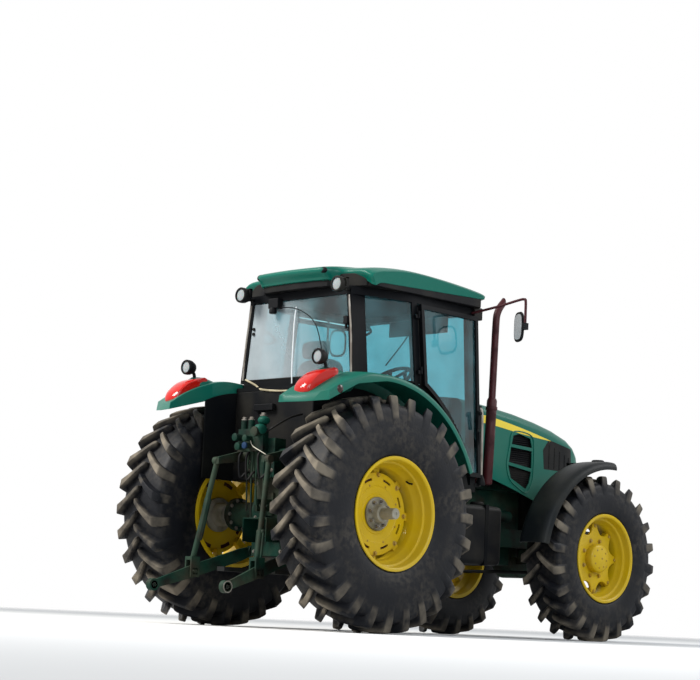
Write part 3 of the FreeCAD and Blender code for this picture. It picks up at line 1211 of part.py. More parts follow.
def hitch():
    """The hydraulic block, rocker with its lift arms, lift rods, lower links and drawbar."""
    back = S.rear_case_rear
    case_top = S.floor_bottom
    block = box("HitchBlock", (-360, -S.cab_rear - 5), (-150, 150), (case_top, case_top + 120))
    cheek = box("RockerHousing", (-360, -back), (-150, 150), (case_top, 1400))
    foot = box("TopLinkFoot", (-back - 20, -back), (-60, 60), (830, 1000))
    ears = [box("TopLinkEar_" + side_name, (-350, -back - 18), sorted((side * 26, side * 45)), (860, 950))
            for side_name, side in SIDES]
    eye_bore = rod("TopLinkBore", S.top_link_bore, "Y", (-60, 60), (-back - 65, 905))
    keep("top_link_bracket", cut("TopLinkBracket", fuse("TopLinkSolid", foot, *ears), eye_bore))
    rocker_bore = rod("RockerBore", S.rocker_radius + S.run_gap, "Y", (-160, 160),
                      (-S.rocker_back, S.rocker_up))
    keep("hitch_housing", cut("HitchHousing", fuse("HitchHousingSolid", block, cheek), rocker_bore))
    face = -360 - S.seat_gap
    valves = [box("ValveBlock", (face - 55, face), (-75, 200), (1300, 1470))]
    valves += [rod("ValveTower%d" % index, radius, "Z", (1465, top), (face - 28, y))
               for index, (y, radius, top) in enumerate(VALVE_TOWERS)]
    valves += [rod("ValveCap%d" % index, radius, "X", (face - 105, face - 50), (y, up))
               for index, (y, up, radius) in enumerate(VALVE_CAPS)]
    keep("remote_valves", fuse("RemoteValves", *valves))
    shaft = rod("RockerShaft", S.rocker_radius, "Y", (-S.arm_out - 15, S.arm_out + 15),
                (-S.rocker_back, S.rocker_up))
    tip_drop = 66
    reach = root(S.arm_reach * S.arm_reach - tip_drop * tip_drop)
    tip_x, tip_z = -S.rocker_back - reach, S.rocker_up - tip_drop
    arms = []
    for side_name, side in SIDES:
        y = sorted((side * (S.arm_out - S.arm_wall / 2), side * (S.arm_out + S.arm_wall / 2)), key=float)
        arms.append(plate("LiftArm_" + side_name, [
            (-S.rocker_back + 45, S.rocker_up - 45), (-S.rocker_back + 45, S.rocker_up + 45),
            (tip_x - 26, tip_z + 26), (tip_x - 26, tip_z - 26)], y))
        out = sorted((side * (S.arm_out + S.arm_wall / 2), side * (S.arm_out + S.arm_wall / 2 + 44)),
                     key=float)
        arms.append(rod("LiftPin_" + side_name, S.rod_pin_radius, "Y", out, (tip_x, tip_z)))
    keep("lift_arms", fuse("LiftArms", shaft, *arms))
    pivot = (-S.link_pivot_back, S.link_pivot_up)
    drop = S.link_pivot_up - S.ball_up
    run = S.ball_back - S.link_pivot_back
    for side_name, side in SIDES:
        share = float(S.lift_pin_share)
        pin_x = -S.link_pivot_back - run * share
        pin_z = S.link_pivot_up - drop * share
        y_in = float(S.link_pivot_out)
        y_out = float(S.ball_out)
        half = float(S.link_depth) / 2
        wall = float(S.link_wall)
        mid_y = y_in + 0.6 * (y_out - y_in)
        sections = []
        for station, out, deep in ((0.0, y_in, 34.0), (0.12, y_in + 15, half), (share, mid_y, half),
                                   (1.0, y_out, 30.0)):
            x = -float(S.link_pivot_back) - float(run) * station
            z = float(S.link_pivot_up) - float(drop) * station
            sections.append(polygon([Vector(x, side * out - wall / 2, z - deep),
                                     Vector(x, side * out + wall / 2, z - deep),
                                     Vector(x, side * out + wall / 2, z + deep),
                                     Vector(x, side * out - wall / 2, z + deep)]))
        bar = lofted("LinkBar_" + side_name, sections)
        eye_y = sorted((side * (S.ball_out - S.ball_width / 2), side * (S.ball_out + S.ball_width / 2)),
                       key=float)
        eye = rod("LinkEye_" + side_name, S.ball_radius, "Y", eye_y, (-S.ball_back, S.ball_up))
        eye_bore = rod("LinkEyeBore_" + side_name, S.ball_bore, "Y", (eye_y[0] - 5, eye_y[1] + 5),
                       (-S.ball_back, S.ball_up))
        root_y = sorted((side * (S.link_pivot_out - 20), side * (S.link_pivot_out + 20)), key=float)
        root_eye = rod("LinkRoot_" + side_name, 40, "Y", root_y, pivot)
        root_bore = rod("LinkRootBore_" + side_name, 16 + S.run_gap, "Y",
                        (root_y[0] - 30, root_y[1] + 30), pivot)
        ear_in = mid_y - wall / 2 - float(S.fork_gap + S.fork_wall)
        ear_out = mid_y + wall / 2 + float(S.fork_gap + S.fork_wall)
        pin = rod("RodPin_" + side_name, S.rod_pin_radius, "Y",
                  sorted((side * (ear_in - 8), side * (ear_out + 8))), (pin_x, pin_z))
        keep("lower_link_" + side_name,
             cut("LowerLink_" + side_name, fuse("LowerLinkSolid_" + side_name, bar, eye, root_eye, pin),
                 eye_bore, root_bore))
        top = Vector(float(tip_x), side * float(S.arm_out + S.arm_wall / 2 + 22), float(tip_z))
        eye_top = rod("LiftRodEye_" + side_name, 30, "Y", (top.y - 21.7, top.y + 21.7), (tip_x, tip_z))
        hole = rod("LiftRodBore_" + side_name, S.rod_pin_radius + S.run_gap, "Y",
                   (top.y - 25, top.y + 25), (tip_x, tip_z))
        bridge_low = pin_z + 82
        stem = strut("LiftRodBar_" + side_name, S.rod_radius,
                     (tip_x, top.y, tip_z - 22), (pin_x, side * mid_y, bridge_low + 8))
        fork = [box("ForkBridge_" + side_name, (pin_x - 42, pin_x + 42),
                    sorted((side * ear_in, side * ear_out)), (bridge_low, bridge_low + 26))]
        for label, face in (("in", ear_in), ("out", ear_out - float(S.fork_wall))):
            ear = box("ForkEar_%s_%s" % (label, side_name), (pin_x - 42, pin_x + 42),
                      sorted((side * face, side * (face + float(S.fork_wall)))),
                      (pin_z - 42, bridge_low + 5))
            slot = box("ForkSlot_%s_%s" % (label, side_name), (pin_x - 27, pin_x + 27),
                       sorted((side * (face - 2), side * (face + float(S.fork_wall) + 2))),
                       (pin_z - 24, pin_z + 24))
            fork.append(cut("ForkSlotted_%s_%s" % (label, side_name), ear, slot))
        keep("lift_rod_" + side_name,
             cut("LiftRod_" + side_name, fuse("LiftRodSolid_" + side_name, stem, eye_top, *fork), hole))
    drawbar = box("Drawbar", (-700, 200), (-S.drawbar_width / 2, S.drawbar_width / 2),
                  (S.drawbar_up, S.drawbar_up + S.drawbar_wall))
    hanger = box("DrawbarHanger", (-240, -190), (-90, 90), (S.drawbar_up, 530))
    hanger_front = box("DrawbarFrontHanger", (100, 160), (-90, 90), (S.drawbar_up, 530))
    hole = rod("DrawbarHole", S.drawbar_hole, "Z", (S.drawbar_up - 5, S.drawbar_up + S.drawbar_wall + 5),
               (-655, 0))
    keep("drawbar", cut("DrawbarSolid", fuse("DrawbarWhole", drawbar, hanger, hanger_front), hole))
    stub = rod("PtoStub", S.pto_radius, "X", (-back - S.pto_length, -back), (0, S.pto_up))
    keep("pto_stub", stub)


rear_wheels()
front_wheels()
driveline()
front_axle()
front_fenders()
rear_fenders()
cab()
glass()
roof()
doors()
door_hinges()
cab_inside()
hood()
radiator_and_weights()
exhaust_and_mirrors()
work_lamps()
tank_and_steps()
hitch()
keep("cab_frame", fuse("CabFrame", *cab_pieces))
doc.recompute()

faults = [item.Label for item in doc.Objects if "Invalid" in item.State or "Error" in item.State]
for name, item in nodes.items():
    shape = item.Shape
    if shape.isNull() or not shape.isValid() or not shape.Solids:
        faults.append(name)
if faults:
    raise SystemExit("failed: " + ", ".join(faults))
for name, item in sorted(nodes.items()):
    shape = item.Shape
    bounds = shape.BoundBox
    print("%-22s solids %d  %7.0f..%7.0f %7.0f..%7.0f %7.0f..%7.0f" % (
        name, len(shape.Solids), bounds.XMin, bounds.XMax, bounds.YMin, bounds.YMax, bounds.ZMin,
        bounds.ZMax))
    shape.exportStep("parts/%s.step" % name)
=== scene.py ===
"""Looks for a farm tractor: finishes, tyres, rims, body panels, glass, lamps, cab and hitch.

Lengths are metres. X points forward, Y to the driver's left and Z up. Places along the machine
are stations measured from the rear axle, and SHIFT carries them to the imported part's own frame.
"""
from __future__ import annotations

import json
import logging
import math
from dataclasses import dataclass, field
from enum import Enum

import bmesh
import bpy
import numpy as np
from mathutils import Matrix

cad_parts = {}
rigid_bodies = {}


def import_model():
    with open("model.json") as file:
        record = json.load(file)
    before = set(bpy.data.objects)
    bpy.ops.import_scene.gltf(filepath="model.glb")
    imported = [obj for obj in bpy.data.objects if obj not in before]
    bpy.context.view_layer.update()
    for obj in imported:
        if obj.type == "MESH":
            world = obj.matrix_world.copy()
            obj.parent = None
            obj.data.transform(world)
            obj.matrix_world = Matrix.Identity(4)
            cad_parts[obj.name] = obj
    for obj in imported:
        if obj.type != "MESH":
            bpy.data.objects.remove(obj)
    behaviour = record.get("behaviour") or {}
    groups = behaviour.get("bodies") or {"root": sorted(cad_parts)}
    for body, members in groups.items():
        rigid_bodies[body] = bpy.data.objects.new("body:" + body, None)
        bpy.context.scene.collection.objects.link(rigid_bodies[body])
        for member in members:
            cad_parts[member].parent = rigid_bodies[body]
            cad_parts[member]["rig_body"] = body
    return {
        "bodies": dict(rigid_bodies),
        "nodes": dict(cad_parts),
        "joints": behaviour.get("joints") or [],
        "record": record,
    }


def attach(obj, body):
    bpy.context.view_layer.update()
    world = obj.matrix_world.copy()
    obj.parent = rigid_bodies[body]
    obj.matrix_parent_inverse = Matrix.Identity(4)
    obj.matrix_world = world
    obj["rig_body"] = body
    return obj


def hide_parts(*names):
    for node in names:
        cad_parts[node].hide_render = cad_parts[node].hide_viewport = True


logging.basicConfig(level=logging.INFO, format="%(levelname)s %(message)s")
LOG = logging.getLogger("tractor")

SHIFT = -1.2175
FULL_TURN = 2.0 * math.pi
SIDES = (("left", 1.0), ("right", -1.0))
Point = tuple[float, float, float]
Points = np.ndarray | list


class Axis(Enum):
    """The machine's directions, each holding the place of its coordinate."""

    X = 0
    Y = 1
    Z = 2


class Slot(Enum):
    """The record's material slots."""

    GREEN = "green_paint"
    YELLOW = "yellow_paint"
    BLACK = "black_paint"
    CASTING = "green_casting"
    DARK_CASTING = "dark_casting"
    PLASTIC = "black_plastic"
    RUBBER = "tyre_rubber"
    GLASS = "cab_glass"
    RED_LENS = "red_lens"
    LAMP = "lamp_housing"
    CLOTH = "seat_fabric"
    STEEL = "bare_steel"
    RUST = "rusty_steel"


def linear(code: str) -> tuple[float, float, float, float]:
    """Turn an sRGB hex colour into linear light.

    Args:
        code: Six hex digits with a leading hash.

    Returns:
        Linear red, green and blue, and an alpha of one.
    """
    parts = np.array([int(code[i:i + 2], 16) for i in (1, 3, 5)]) / 255.0
    bright = np.where(parts <= 0.04045, parts / 12.92, ((parts + 0.055) / 1.055) ** 2.4)
    return (float(bright[0]), float(bright[1]), float(bright[2]), 1.0)


def add(tree: bpy.types.NodeTree, kind: str, inputs: dict | None = None,
        **settings: object) -> bpy.types.Node:
    """Add one shader node.

    Args:
        tree: The material's node tree.
        kind: The node's type without the ShaderNode prefix.
        inputs: Socket name or index to a value, or to another node's output to link.
        **settings: Properties of the node itself.

    Returns:
        The new node.
    """
    node = tree.nodes.new("ShaderNode" + kind)
    for name, value in settings.items():
        setattr(node, name, value)
    for name, value in (inputs or {}).items():
        if isinstance(value, bpy.types.NodeSocket):
            tree.links.new(value, node.inputs[name])
        else:
            node.inputs[name].default_value = value
    return node


@dataclass(frozen=True)
class Shape:
    """A polygon surface: points, blocks of faces that share a corner count, and a value a point."""

    points: np.ndarray
    faces: tuple[np.ndarray, ...]
    value: np.ndarray

    def moved(self, shift: Point) -> Shape:
        """Return the shape carried by a shift."""
        return Shape(self.points + np.asarray(shift), self.faces, self.value)

    def mirrored(self, side: float) -> Shape:
        """Return the shape with its y multiplied by the side's sign."""
        return Shape(self.points * np.array([1.0, side, 1.0]), self.faces, self.value)

    def spun(self, axis: Axis, angles: np.ndarray, centre: Point) -> Shape:
        """Copy the shape round an axis.

        Args:
            axis: The direction of the line it turns about.
            angles: One turn a copy, in radians.
            centre: A point on that line.

        Returns:
            All the copies as one shape.
        """
        k = axis.value
        i, j = (k + 1) % 3, (k + 2) % 3
        turns = np.zeros((len(angles), 3, 3))
        turns[:, k, k] = 1.0
        turns[:, i, i] = turns[:, j, j] = np.cos(angles)
        turns[:, i, j], turns[:, j, i] = -np.sin(angles), np.sin(angles)
        local = self.points - np.asarray(centre)
        copies = np.einsum("nij,pj->npi", turns, local) + np.asarray(centre)
        count = len(self.points)
        steps = np.arange(len(angles)) * count
        faces = tuple((block[None] + steps[:, None, None]).reshape(-1, block.shape[1])
                      for block in self.faces)
        return Shape(copies.reshape(-1, 3), faces, np.tile(self.value, len(angles)))


def joined(*shapes: Shape) -> Shape:
    """Return several shapes as one."""
    starts = np.cumsum([0] + [len(shape.points) for shape in shapes[:-1]])
    faces = tuple(block + start for shape, start in zip(shapes, starts) for block in shape.faces)
    return Shape(np.concatenate([shape.points for shape in shapes]), faces,
                 np.concatenate([shape.value for shape in shapes]))


def both_sides(shape: Shape) -> Shape:
    """Return a shape together with its mirror image across y."""
    return joined(shape, shape.mirrored(-1.0))


def skinned(rows: np.ndarray, round_rows: bool = False, caps: bool = True,
            value: np.ndarray | None = None) -> Shape:
    """Skin a grid of points with quads, each row a ring whose last point joins its first.

    Args:
        rows: Points as rows by columns by three.
        round_rows: Whether the last row joins the first.
        caps: Whether the first and last rows are closed by a face, where the rows don't join.
        value: One value a point, as rows by columns.

    Returns:
        The skin.
    """
    count, wide = rows.shape[:2]
    index = np.arange(count * wide).reshape(count, wide)
    along = np.concatenate([index, index[:1]]) if round_rows else index
    grid = np.concatenate([along, along[:, :1]], axis=1)
    quads = np.stack([grid[:-1, :-1], grid[1:, :-1], grid[1:, 1:], grid[:-1, 1:]], -1).reshape(-1, 4)
    blocks = [quads]
    if caps and not round_rows:
        blocks += [index[:1], index[-1:, ::-1]]
    values = np.zeros(count * wide) if value is None else value.reshape(-1)
    return Shape(rows.reshape(-1, 3), tuple(blocks), values)


def spline(points: Points, count: int, closed: bool = False) -> np.ndarray:
    """Run a smooth curve through points: each cubic piece meets its neighbours with equal slope.

    Args:
        points: The points along the first axis, of any further shape.
        count: How many samples to return.
        closed: Whether the curve returns to its first point.

    Returns:
        The samples along the first axis.
    """
    points = np.asarray(points, float)
    total = len(points)
    if closed:
        place = np.linspace(0, total, count, endpoint=False)
        whole = np.floor(place).astype(int)
        picks = [(whole + k) % total for k in (-1, 0, 1, 2)]
        a, b, c, d = (points[pick] for pick in picks)
    else:
        place = np.linspace(0, total - 1, count)
        whole = np.minimum(np.floor(place).astype(int), total - 2)
        long = np.concatenate([2 * points[:1] - points[1:2], points, 2 * points[-1:] - points[-2:-1]])
        a, b, c, d = (long[whole + k] for k in (0, 1, 2, 3))
    t = (place - whole).reshape((-1,) + (1,) * (points.ndim - 1))
    return 0.5 * (2 * b + (c - a) * t + (2 * a - 5 * b + 4 * c - d) * t ** 2
                  + (3 * b - a - 3 * c + d) * t ** 3)


def revolved(profile: Points, centre: Point, axis: Axis = Axis.Y, segments: int = 96) -> Shape:
    """Turn a closed outline about a line.

    Args:
        profile: Corners as (radius, distance along the line), the last joined to the first.
        centre: A point on the line.
        axis: The line's direction.
        segments: Steps of the turn.

    Returns:
        The ring. About Y each corner lies at (r cos a, along, r sin a) from the centre.
    """
    profile = np.asarray(profile, float)
    angle = np.linspace(0, FULL_TURN, segments, endpoint=False)[:, None]
    radius, along = profile[None, :, 0], profile[None, :, 1]
    rows = np.stack([radius * np.cos(angle), along + 0 * angle, radius * np.sin(angle)], -1)
    order = {Axis.X: (1, 0, 2), Axis.Y: (0, 1, 2), Axis.Z: (0, 2, 1)}[axis]
    return skinned(rows[..., order] + np.asarray(centre, float), round_rows=True)


def sheet(front: np.ndarray, back: np.ndarray, kept: np.ndarray | None = None,
          closed: bool = False) -> Shape:
    """Close a plate between two grids of points, with openings where cells are left out.

    Args:
        front: Points of one face, as rows by columns by three.
        back: Points of the other face, on the same grid.
        kept: Which cells are there, as rows by columns; all where none is given.
        closed: Whether the last row joins the first.

    Returns:
        The plate, walled at its rim and round each opening.
    """
    rows, columns = front.shape[:2]
    index = np.arange(rows * columns).reshape(rows, columns)
    if closed:
        index = np.concatenate([index, index[:1]])
    if kept is None:
        kept = np.ones((len(index) - 1, columns - 1), bool)
    far = rows * columns
    near = np.stack([index[:-1, :-1], index[1:, :-1], index[1:, 1:], index[:-1, 1:]], -1)[kept]
    across = np.pad(kept, ((0, 0), (1, 1)))
    edge = across[:, :-1] != across[:, 1:]
    first, second = [index[:-1][edge]], [index[1:][edge]]
    if closed:
        rim = np.roll(kept, 1, axis=0) != kept
        first.append(index[:-1, :-1][rim])
        second.append(index[:-1, 1:][rim])
    else:
        along = np.pad(kept, ((1, 1), (0, 0)))
        rim = along[:-1] != along[1:]
        first.append(index[:, :-1][rim])
        second.append(index[:, 1:][rim])
    i, j = np.concatenate(first), np.concatenate(second)
    quads = np.concatenate([near, near[:, ::-1] + far, np.stack([i, j, j + far, i + far], -1)])
    used, fresh = np.unique(quads, return_inverse=True)
    points = np.concatenate([front.reshape(-1, 3), back.reshape(-1, 3)])[used]
    return Shape(points, (fresh.reshape(-1, 4),), np.zeros(len(points)))


def squared(wave: np.ndarray, power: float) -> np.ndarray:
    """Return a wave raised to a power that keeps its sign, which squares a circle off."""
    return np.sign(wave) * np.abs(wave) ** power


def pillow(centre: Point, half: Point, lean: float = 0.0, power: float = 0.42,
           steps: tuple[int, int] = (28, 44)) -> Shape:
    """Return a crowned, padded form: a sphere squared off by a power, so its sides pull in at the middle.

    Args:
        centre: Its middle.
        half: Its half sizes along x, y and z.
        lean: Turn about Y in radians.
        power: One for a ball, and less for a boxier form.
        steps: Rings from pole to pole, and corners of each.

    Returns:
        The form, whose poles are closed.
    """
    up = np.linspace(-0.5 * math.pi, 0.5 * math.pi, steps[0])[:, None]
    turn = np.linspace(0, FULL_TURN, steps[1], endpoint=False)[None, :]
    level = squared(np.cos(up), power)
    x, y = level * squared(np.cos(turn), power), level * squared(np.sin(turn), power)
    z = squared(np.sin(up), power * 1.3) + 0 * turn
    x, y, z = x * half[0], y * half[1], z * half[2]
    tilted = np.stack([x * math.cos(lean) + z * math.sin(lean), y,
                       z * math.cos(lean) - x * math.sin(lean)], -1)
    return skinned(tilted + np.asarray(centre), caps=False)


def tube(path: Points, radius: float | np.ndarray, sides: int = 12) -> Shape:
    """Sweep a round section along a path: each ring lies square to the way ahead.

    Args:
        path: Points of the path.
        radius: One radius, or one a point.
        sides: Corners of the section.

    Returns:
        The capped tube.
    """
    path = np.asarray(path, float)
    ahead = np.gradient(path, axis=0)
    ahead /= np.linalg.norm(ahead, axis=1, keepdims=True)
    spare = np.eye(3)[np.argmin(np.abs(ahead).max(0))]
    first = np.cross(ahead, spare)
    first /= np.linalg.norm(first, axis=1, keepdims=True)
    second = np.cross(ahead, first)
    angle = np.linspace(0, FULL_TURN, sides, endpoint=False)
    radius = np.broadcast_to(np.asarray(radius, float), (len(path),))[:, None, None]
    ring = first[:, None] * np.cos(angle)[None, :, None] + second[:, None] * np.sin(angle)[None, :, None]
    return skinned(path[:, None] + radius * ring)


def bent(points: Points, radius: float, count: int = 24, sides: int = 10) -> Shape:
    """Return a smooth bent tube through points, with a count of rings and of corners a ring."""
    return tube(spline(points, count), radius, sides)


def block(low: Point, high: Point) -> Shape:
    """Return a box between two corners."""
    (x0, y0, z0), (x1, y1, z1) = low, high
    ring = np.array([[x0, y0], [x1, y0], [x1, y1], [x0, y1]])
    rows = np.stack([np.column_stack([ring, np.full(4, z)]) for z in (z0, z1)])
    return skinned(rows)


def prism(outline: Points, y0: float, y1: float) -> Shape:
    """Return an outline in x and z as a plate between two widths."""
    outline = np.asarray(outline, float)
    rows = np.stack([np.insert(outline, 1, y, axis=1) for y in (y0, y1)])
    return skinned(rows)


def bolt(centre: Point, axis: Axis, out: float, radius: float, height: float) -> Shape:
    """Return a hexagon head on a round washer, standing out along an axis.

    Args:
        centre: Where the washer sits.
        axis: The direction of its axis.
        out: Plus or minus one, the way it stands out.
        radius: The head's radius.
        height: The head's height.
    """
    washer = np.array([(0, -0.002), (1.45 * radius, -0.002), (1.45 * radius, 0.2 * height),
                       (0, 0.2 * height)])
    head = np.array([(0, 0.2 * height), (radius, 0.2 * height), (radius, 0.9 * height),
                     (0.86 * radius, height), (0, height)])
    return joined(revolved(washer * [1, out], centre, axis, 12), revolved(head * [1, out], centre, axis, 6))


@dataclass(frozen=True)
class Finish:
    """A surface finish that makes its own material once."""

    name: str

    def surface(self, tree: bpy.types.NodeTree) -> bpy.types.NodeSocket:
        """Return the shader output of the finish."""
        raise NotImplementedError

    def material(self) -> bpy.types.Material:
        """Return the finish's material, made at its first use."""
        made = bpy.data.materials.get(self.name)
        if made is None:
            made = bpy.data.materials.new(self.name)
            made.use_nodes = True
            made.node_tree.nodes.clear()
            shader = self.surface(made.node_tree)
            add(made.node_tree, "OutputMaterial", {"Surface": shader})
        return made


def place_in(tree: bpy.types.NodeTree) -> bpy.types.NodeSocket:
    """Return the object coordinates of a material."""
    return add(tree, "TexCoord").outputs["Object"]


def patches(tree: bpy.types.NodeTree, scale: float, low: float, high: float,
            detail: float = 6.0) -> bpy.types.NodeSocket:
    """Return a cloudy mask between nought and one.

    Args:
        tree: The material's node tree.
        scale: Clouds a metre.
        low: Noise value that becomes nought.
        high: Noise value that becomes one.
        detail: Octaves of finer clouds.

    Returns:
        The mask's socket.
    """
    noise = add(tree, "TexNoise", {"Vector": place_in(tree), "Scale": scale, "Detail": detail})
    return add(tree, "MapRange", {"Value": noise.outputs["Fac"], "From Min": low, "From Max": high}
               ).outputs["Result"]


def lowness(tree: bpy.types.NodeTree, top: float) -> bpy.types.NodeSocket:
    """Return a mask that is one at the ground and nought at a height, in metres."""
    parts = add(tree, "SeparateXYZ", {"Vector": place_in(tree)})
    return add(tree, "MapRange", {"Value": parts.outputs["Z"], "From Min": top, "From Max": 0.0}
               ).outputs["Result"]


def product(tree: bpy.types.NodeTree, a: bpy.types.NodeSocket, b: bpy.types.NodeSocket | float
            ) -> bpy.types.NodeSocket:
    """Return two values multiplied and held between nought and one."""
    return add(tree, "Math", {0: a, 1: b}, operation="MULTIPLY", use_clamp=True).outputs[0]


def blended(tree: bpy.types.NodeTree, mask: bpy.types.NodeSocket, a: tuple | bpy.types.NodeSocket,
            b: tuple | bpy.types.NodeSocket) -> bpy.types.NodeSocket:
    """Return colour a where the mask is nought and colour b where it is one."""
    mix = add(tree, "Mix", {"Factor": mask, 6: a, 7: b}, data_type="RGBA")
    return mix.outputs[2]


@dataclass(frozen=True)
class Enamel(Finish):
    """Two-coat machinery enamel sprayed on pressed steel, with field dust lying on it."""

    colour: str = "#015a4c"
    dust_colour: str = "#8d8a74"
    dust: float = 0.14
    roughness: float = 0.38
    coat: float = 0.08
    mirror: float = 0.14

    def surface(self, tree: bpy.types.NodeTree) -> bpy.types.NodeSocket:
        """Return paint under a thin patchy dust, thicker low down."""
        # Dust lies in clouds of about 330 mm and in spots of 17 mm, and the paint's peel is 1.4 mm.
        clouds = patches(tree, 3.0, 0.35, 0.75)
        low = lowness(tree, 2.6)
        veil = product(tree, product(tree, clouds, low), self.dust)
        speckle = patches(tree, 60.0, 0.60, 0.72, 3.0)
        spots = product(tree, speckle, 0.25 * self.dust)
        cover = add(tree, "Math", {0: veil, 1: spots}, operation="MAXIMUM").outputs[0]
        colour = blended(tree, cover, linear(self.colour), linear(self.dust_colour))
        rough = add(tree, "MapRange", {"Value": cover, "To Min": self.roughness, "To Max": 0.85})
        peel = add(tree, "TexNoise", {"Vector": place_in(tree), "Scale": 700.0, "Detail": 2.0})
        bump = add(tree, "Bump", {"Height": peel.outputs["Fac"], "Strength": 0.03, "Distance": 0.001})
        shader = add(tree, "BsdfPrincipled", {
            "Base Color": colour, "Roughness": rough.outputs["Result"], "Normal": bump.outputs["Normal"],
            "Specular IOR Level": self.mirror, "Coat Weight": self.coat, "Coat Roughness": 0.12})
        return shader.outputs["BSDF"]


@dataclass(frozen=True)
class Cast(Finish):
    """Brushed chassis paint on sand-cast iron, with oil-bound dirt in the hollows."""

    colour: str = "#042c22"
    dirt: str = "#0c100c"
    grain: float = 90.0

    def surface(self, tree: bpy.types.NodeTree) -> bpy.types.NodeSocket:
        """Return a rough paint broken up by dirt, over a grainy bump."""
        # Oil stains are about 140 mm wide. Moulding sand is under 1 mm and is drawn at 11 mm to show.
        stains = patches(tree, 7.0, 0.42, 0.66)
        dusty = product(tree, patches(tree, 2.5, 0.45, 0.78), 0.22)
        under = blended(tree, stains, linear(self.colour), linear(self.dirt))
        colour = blended(tree, dusty, under, linear("#7d745d"))
        sand = add(tree, "TexNoise", {"Vector": place_in(tree), "Scale": self.grain, "Detail": 5.0})
        bump = add(tree, "Bump", {"Height": sand.outputs["Fac"], "Strength": 0.35, "Distance": 0.004})
        shader = add(tree, "BsdfPrincipled", {
            "Base Color": colour, "Roughness": 0.62, "Specular IOR Level": 0.14,
            "Normal": bump.outputs["Normal"]})
        return shader.outputs["BSDF"]


@dataclass(frozen=True)
class Rubber(Finish):
    """Vulcanised tyre rubber, with field mud dried on the lugs and smeared over the carcass."""

    colour: str = "#0d0f14"
    mud: str = "#8d8373"

    def surface(self, tree: bpy.types.NodeTree) -> bpy.types.NodeSocket:
        """Return rubber under mud, where the mesh's mud value and the clouds agree."""
        # Mud holds on in clouds of about 240 mm, smears at 36 mm, and its crumbs are 22 mm.
        grown = add(tree, "Attribute", attribute_name="mud").outputs["Fac"]
        worn = add(tree, "MapRange", {"Value": grown, "From Min": 0.38, "From Max": 1.0}).outputs["Result"]
        clouds = patches(tree, 4.2, 0.40, 0.66)
        fine = patches(tree, 28.0, 0.40, 0.62)
        cake = product(tree, product(tree, worn, clouds), 0.9)
        film = product(tree, product(tree, fine, clouds), 0.09)
        cover = add(tree, "Math", {0: cake, 1: film}, operation="MAXIMUM").outputs[0]
        colour = blended(tree, cover, linear(self.colour), linear(self.mud))
        rough = add(tree, "MapRange", {"Value": cover, "To Min": 0.52, "To Max": 0.95})
        crust = add(tree, "TexNoise", {"Vector": place_in(tree), "Scale": 45.0, "Detail": 6.0})
        bump = add(tree, "Bump", {"Height": crust.outputs["Fac"], "Strength": 0.4, "Distance": 0.004})
        shader = add(tree, "BsdfPrincipled", {
            "Base Color": colour, "Roughness": rough.outputs["Result"], "Specular IOR Level": 0.16,
            "Normal": bump.outputs["Normal"]})
        return shader.outputs["BSDF"]


@dataclass(frozen=True)
class Plastic(Finish):
    """Injection-moulded polypropylene with a fine spark-eroded grain."""

    colour: str = "#0b0c0f"
    roughness: float = 0.5
    dust: float = 0.06

    def surface(self, tree: bpy.types.NodeTree) -> bpy.types.NodeSocket:
        """Return grained plastic with a little dust."""
        # Dust clouds are about 250 mm. The mould's grain is 0.1 mm and is drawn at 1.1 mm to show.
        dusty = product(tree, patches(tree, 4.0, 0.42, 0.75), self.dust)
        colour = blended(tree, dusty, linear(self.colour), linear("#857f6d"))
        grain = add(tree, "TexNoise", {"Vector": place_in(tree), "Scale": 900.0, "Detail": 2.0})
        bump = add(tree, "Bump", {"Height": grain.outputs["Fac"], "Strength": 0.12, "Distance": 0.001})
        shader = add(tree, "BsdfPrincipled", {
            "Base Color": colour, "Roughness": self.roughness, "Specular IOR Level": 0.09,
            "Normal": bump.outputs["Normal"]})
        return shader.outputs["BSDF"]


@dataclass(frozen=True)
class Glazing(Finish):
    """Toughened float glass tinted in the melt, with dust dried on by rain."""

    tint: str = "#c2e5ea"
    haze: str = "#86bcc4"
    dust: float = 0.18

    def surface(self, tree: bpy.types.NodeTree) -> bpy.types.NodeSocket:
        """Return a clear tinted sheet, mirror-like on its outer face, under a thin veil of dust."""
        # The dust's clouds are about 290 mm across.
        clear = add(tree, "BsdfTransparent", {"Color": linear(self.tint)})
        shine = add(tree, "BsdfGlossy", {"Color": (1.0, 1.0, 1.0, 1.0), "Roughness": 0.03})
        fresnel = add(tree, "Fresnel", {"IOR": 1.45})
        behind = add(tree, "NewGeometry").outputs["Backfacing"]
        ahead = add(tree, "Math", {0: 1.0, 1: behind}, operation="SUBTRACT").outputs[0]
        mirror = product(tree, fresnel.outputs["Fac"], ahead)
        sheet = add(tree, "MixShader", {0: mirror, 1: clear.outputs["BSDF"], 2: shine.outputs["BSDF"]})
        veil = product(tree, patches(tree, 3.5, 0.35, 0.80, 8.0), self.dust)
        film = add(tree, "BsdfDiffuse", {"Color": linear(self.haze)})
        whole = add(tree, "MixShader", {0: veil, 1: sheet.outputs[0], 2: film.outputs["BSDF"]})
        return whole.outputs[0]


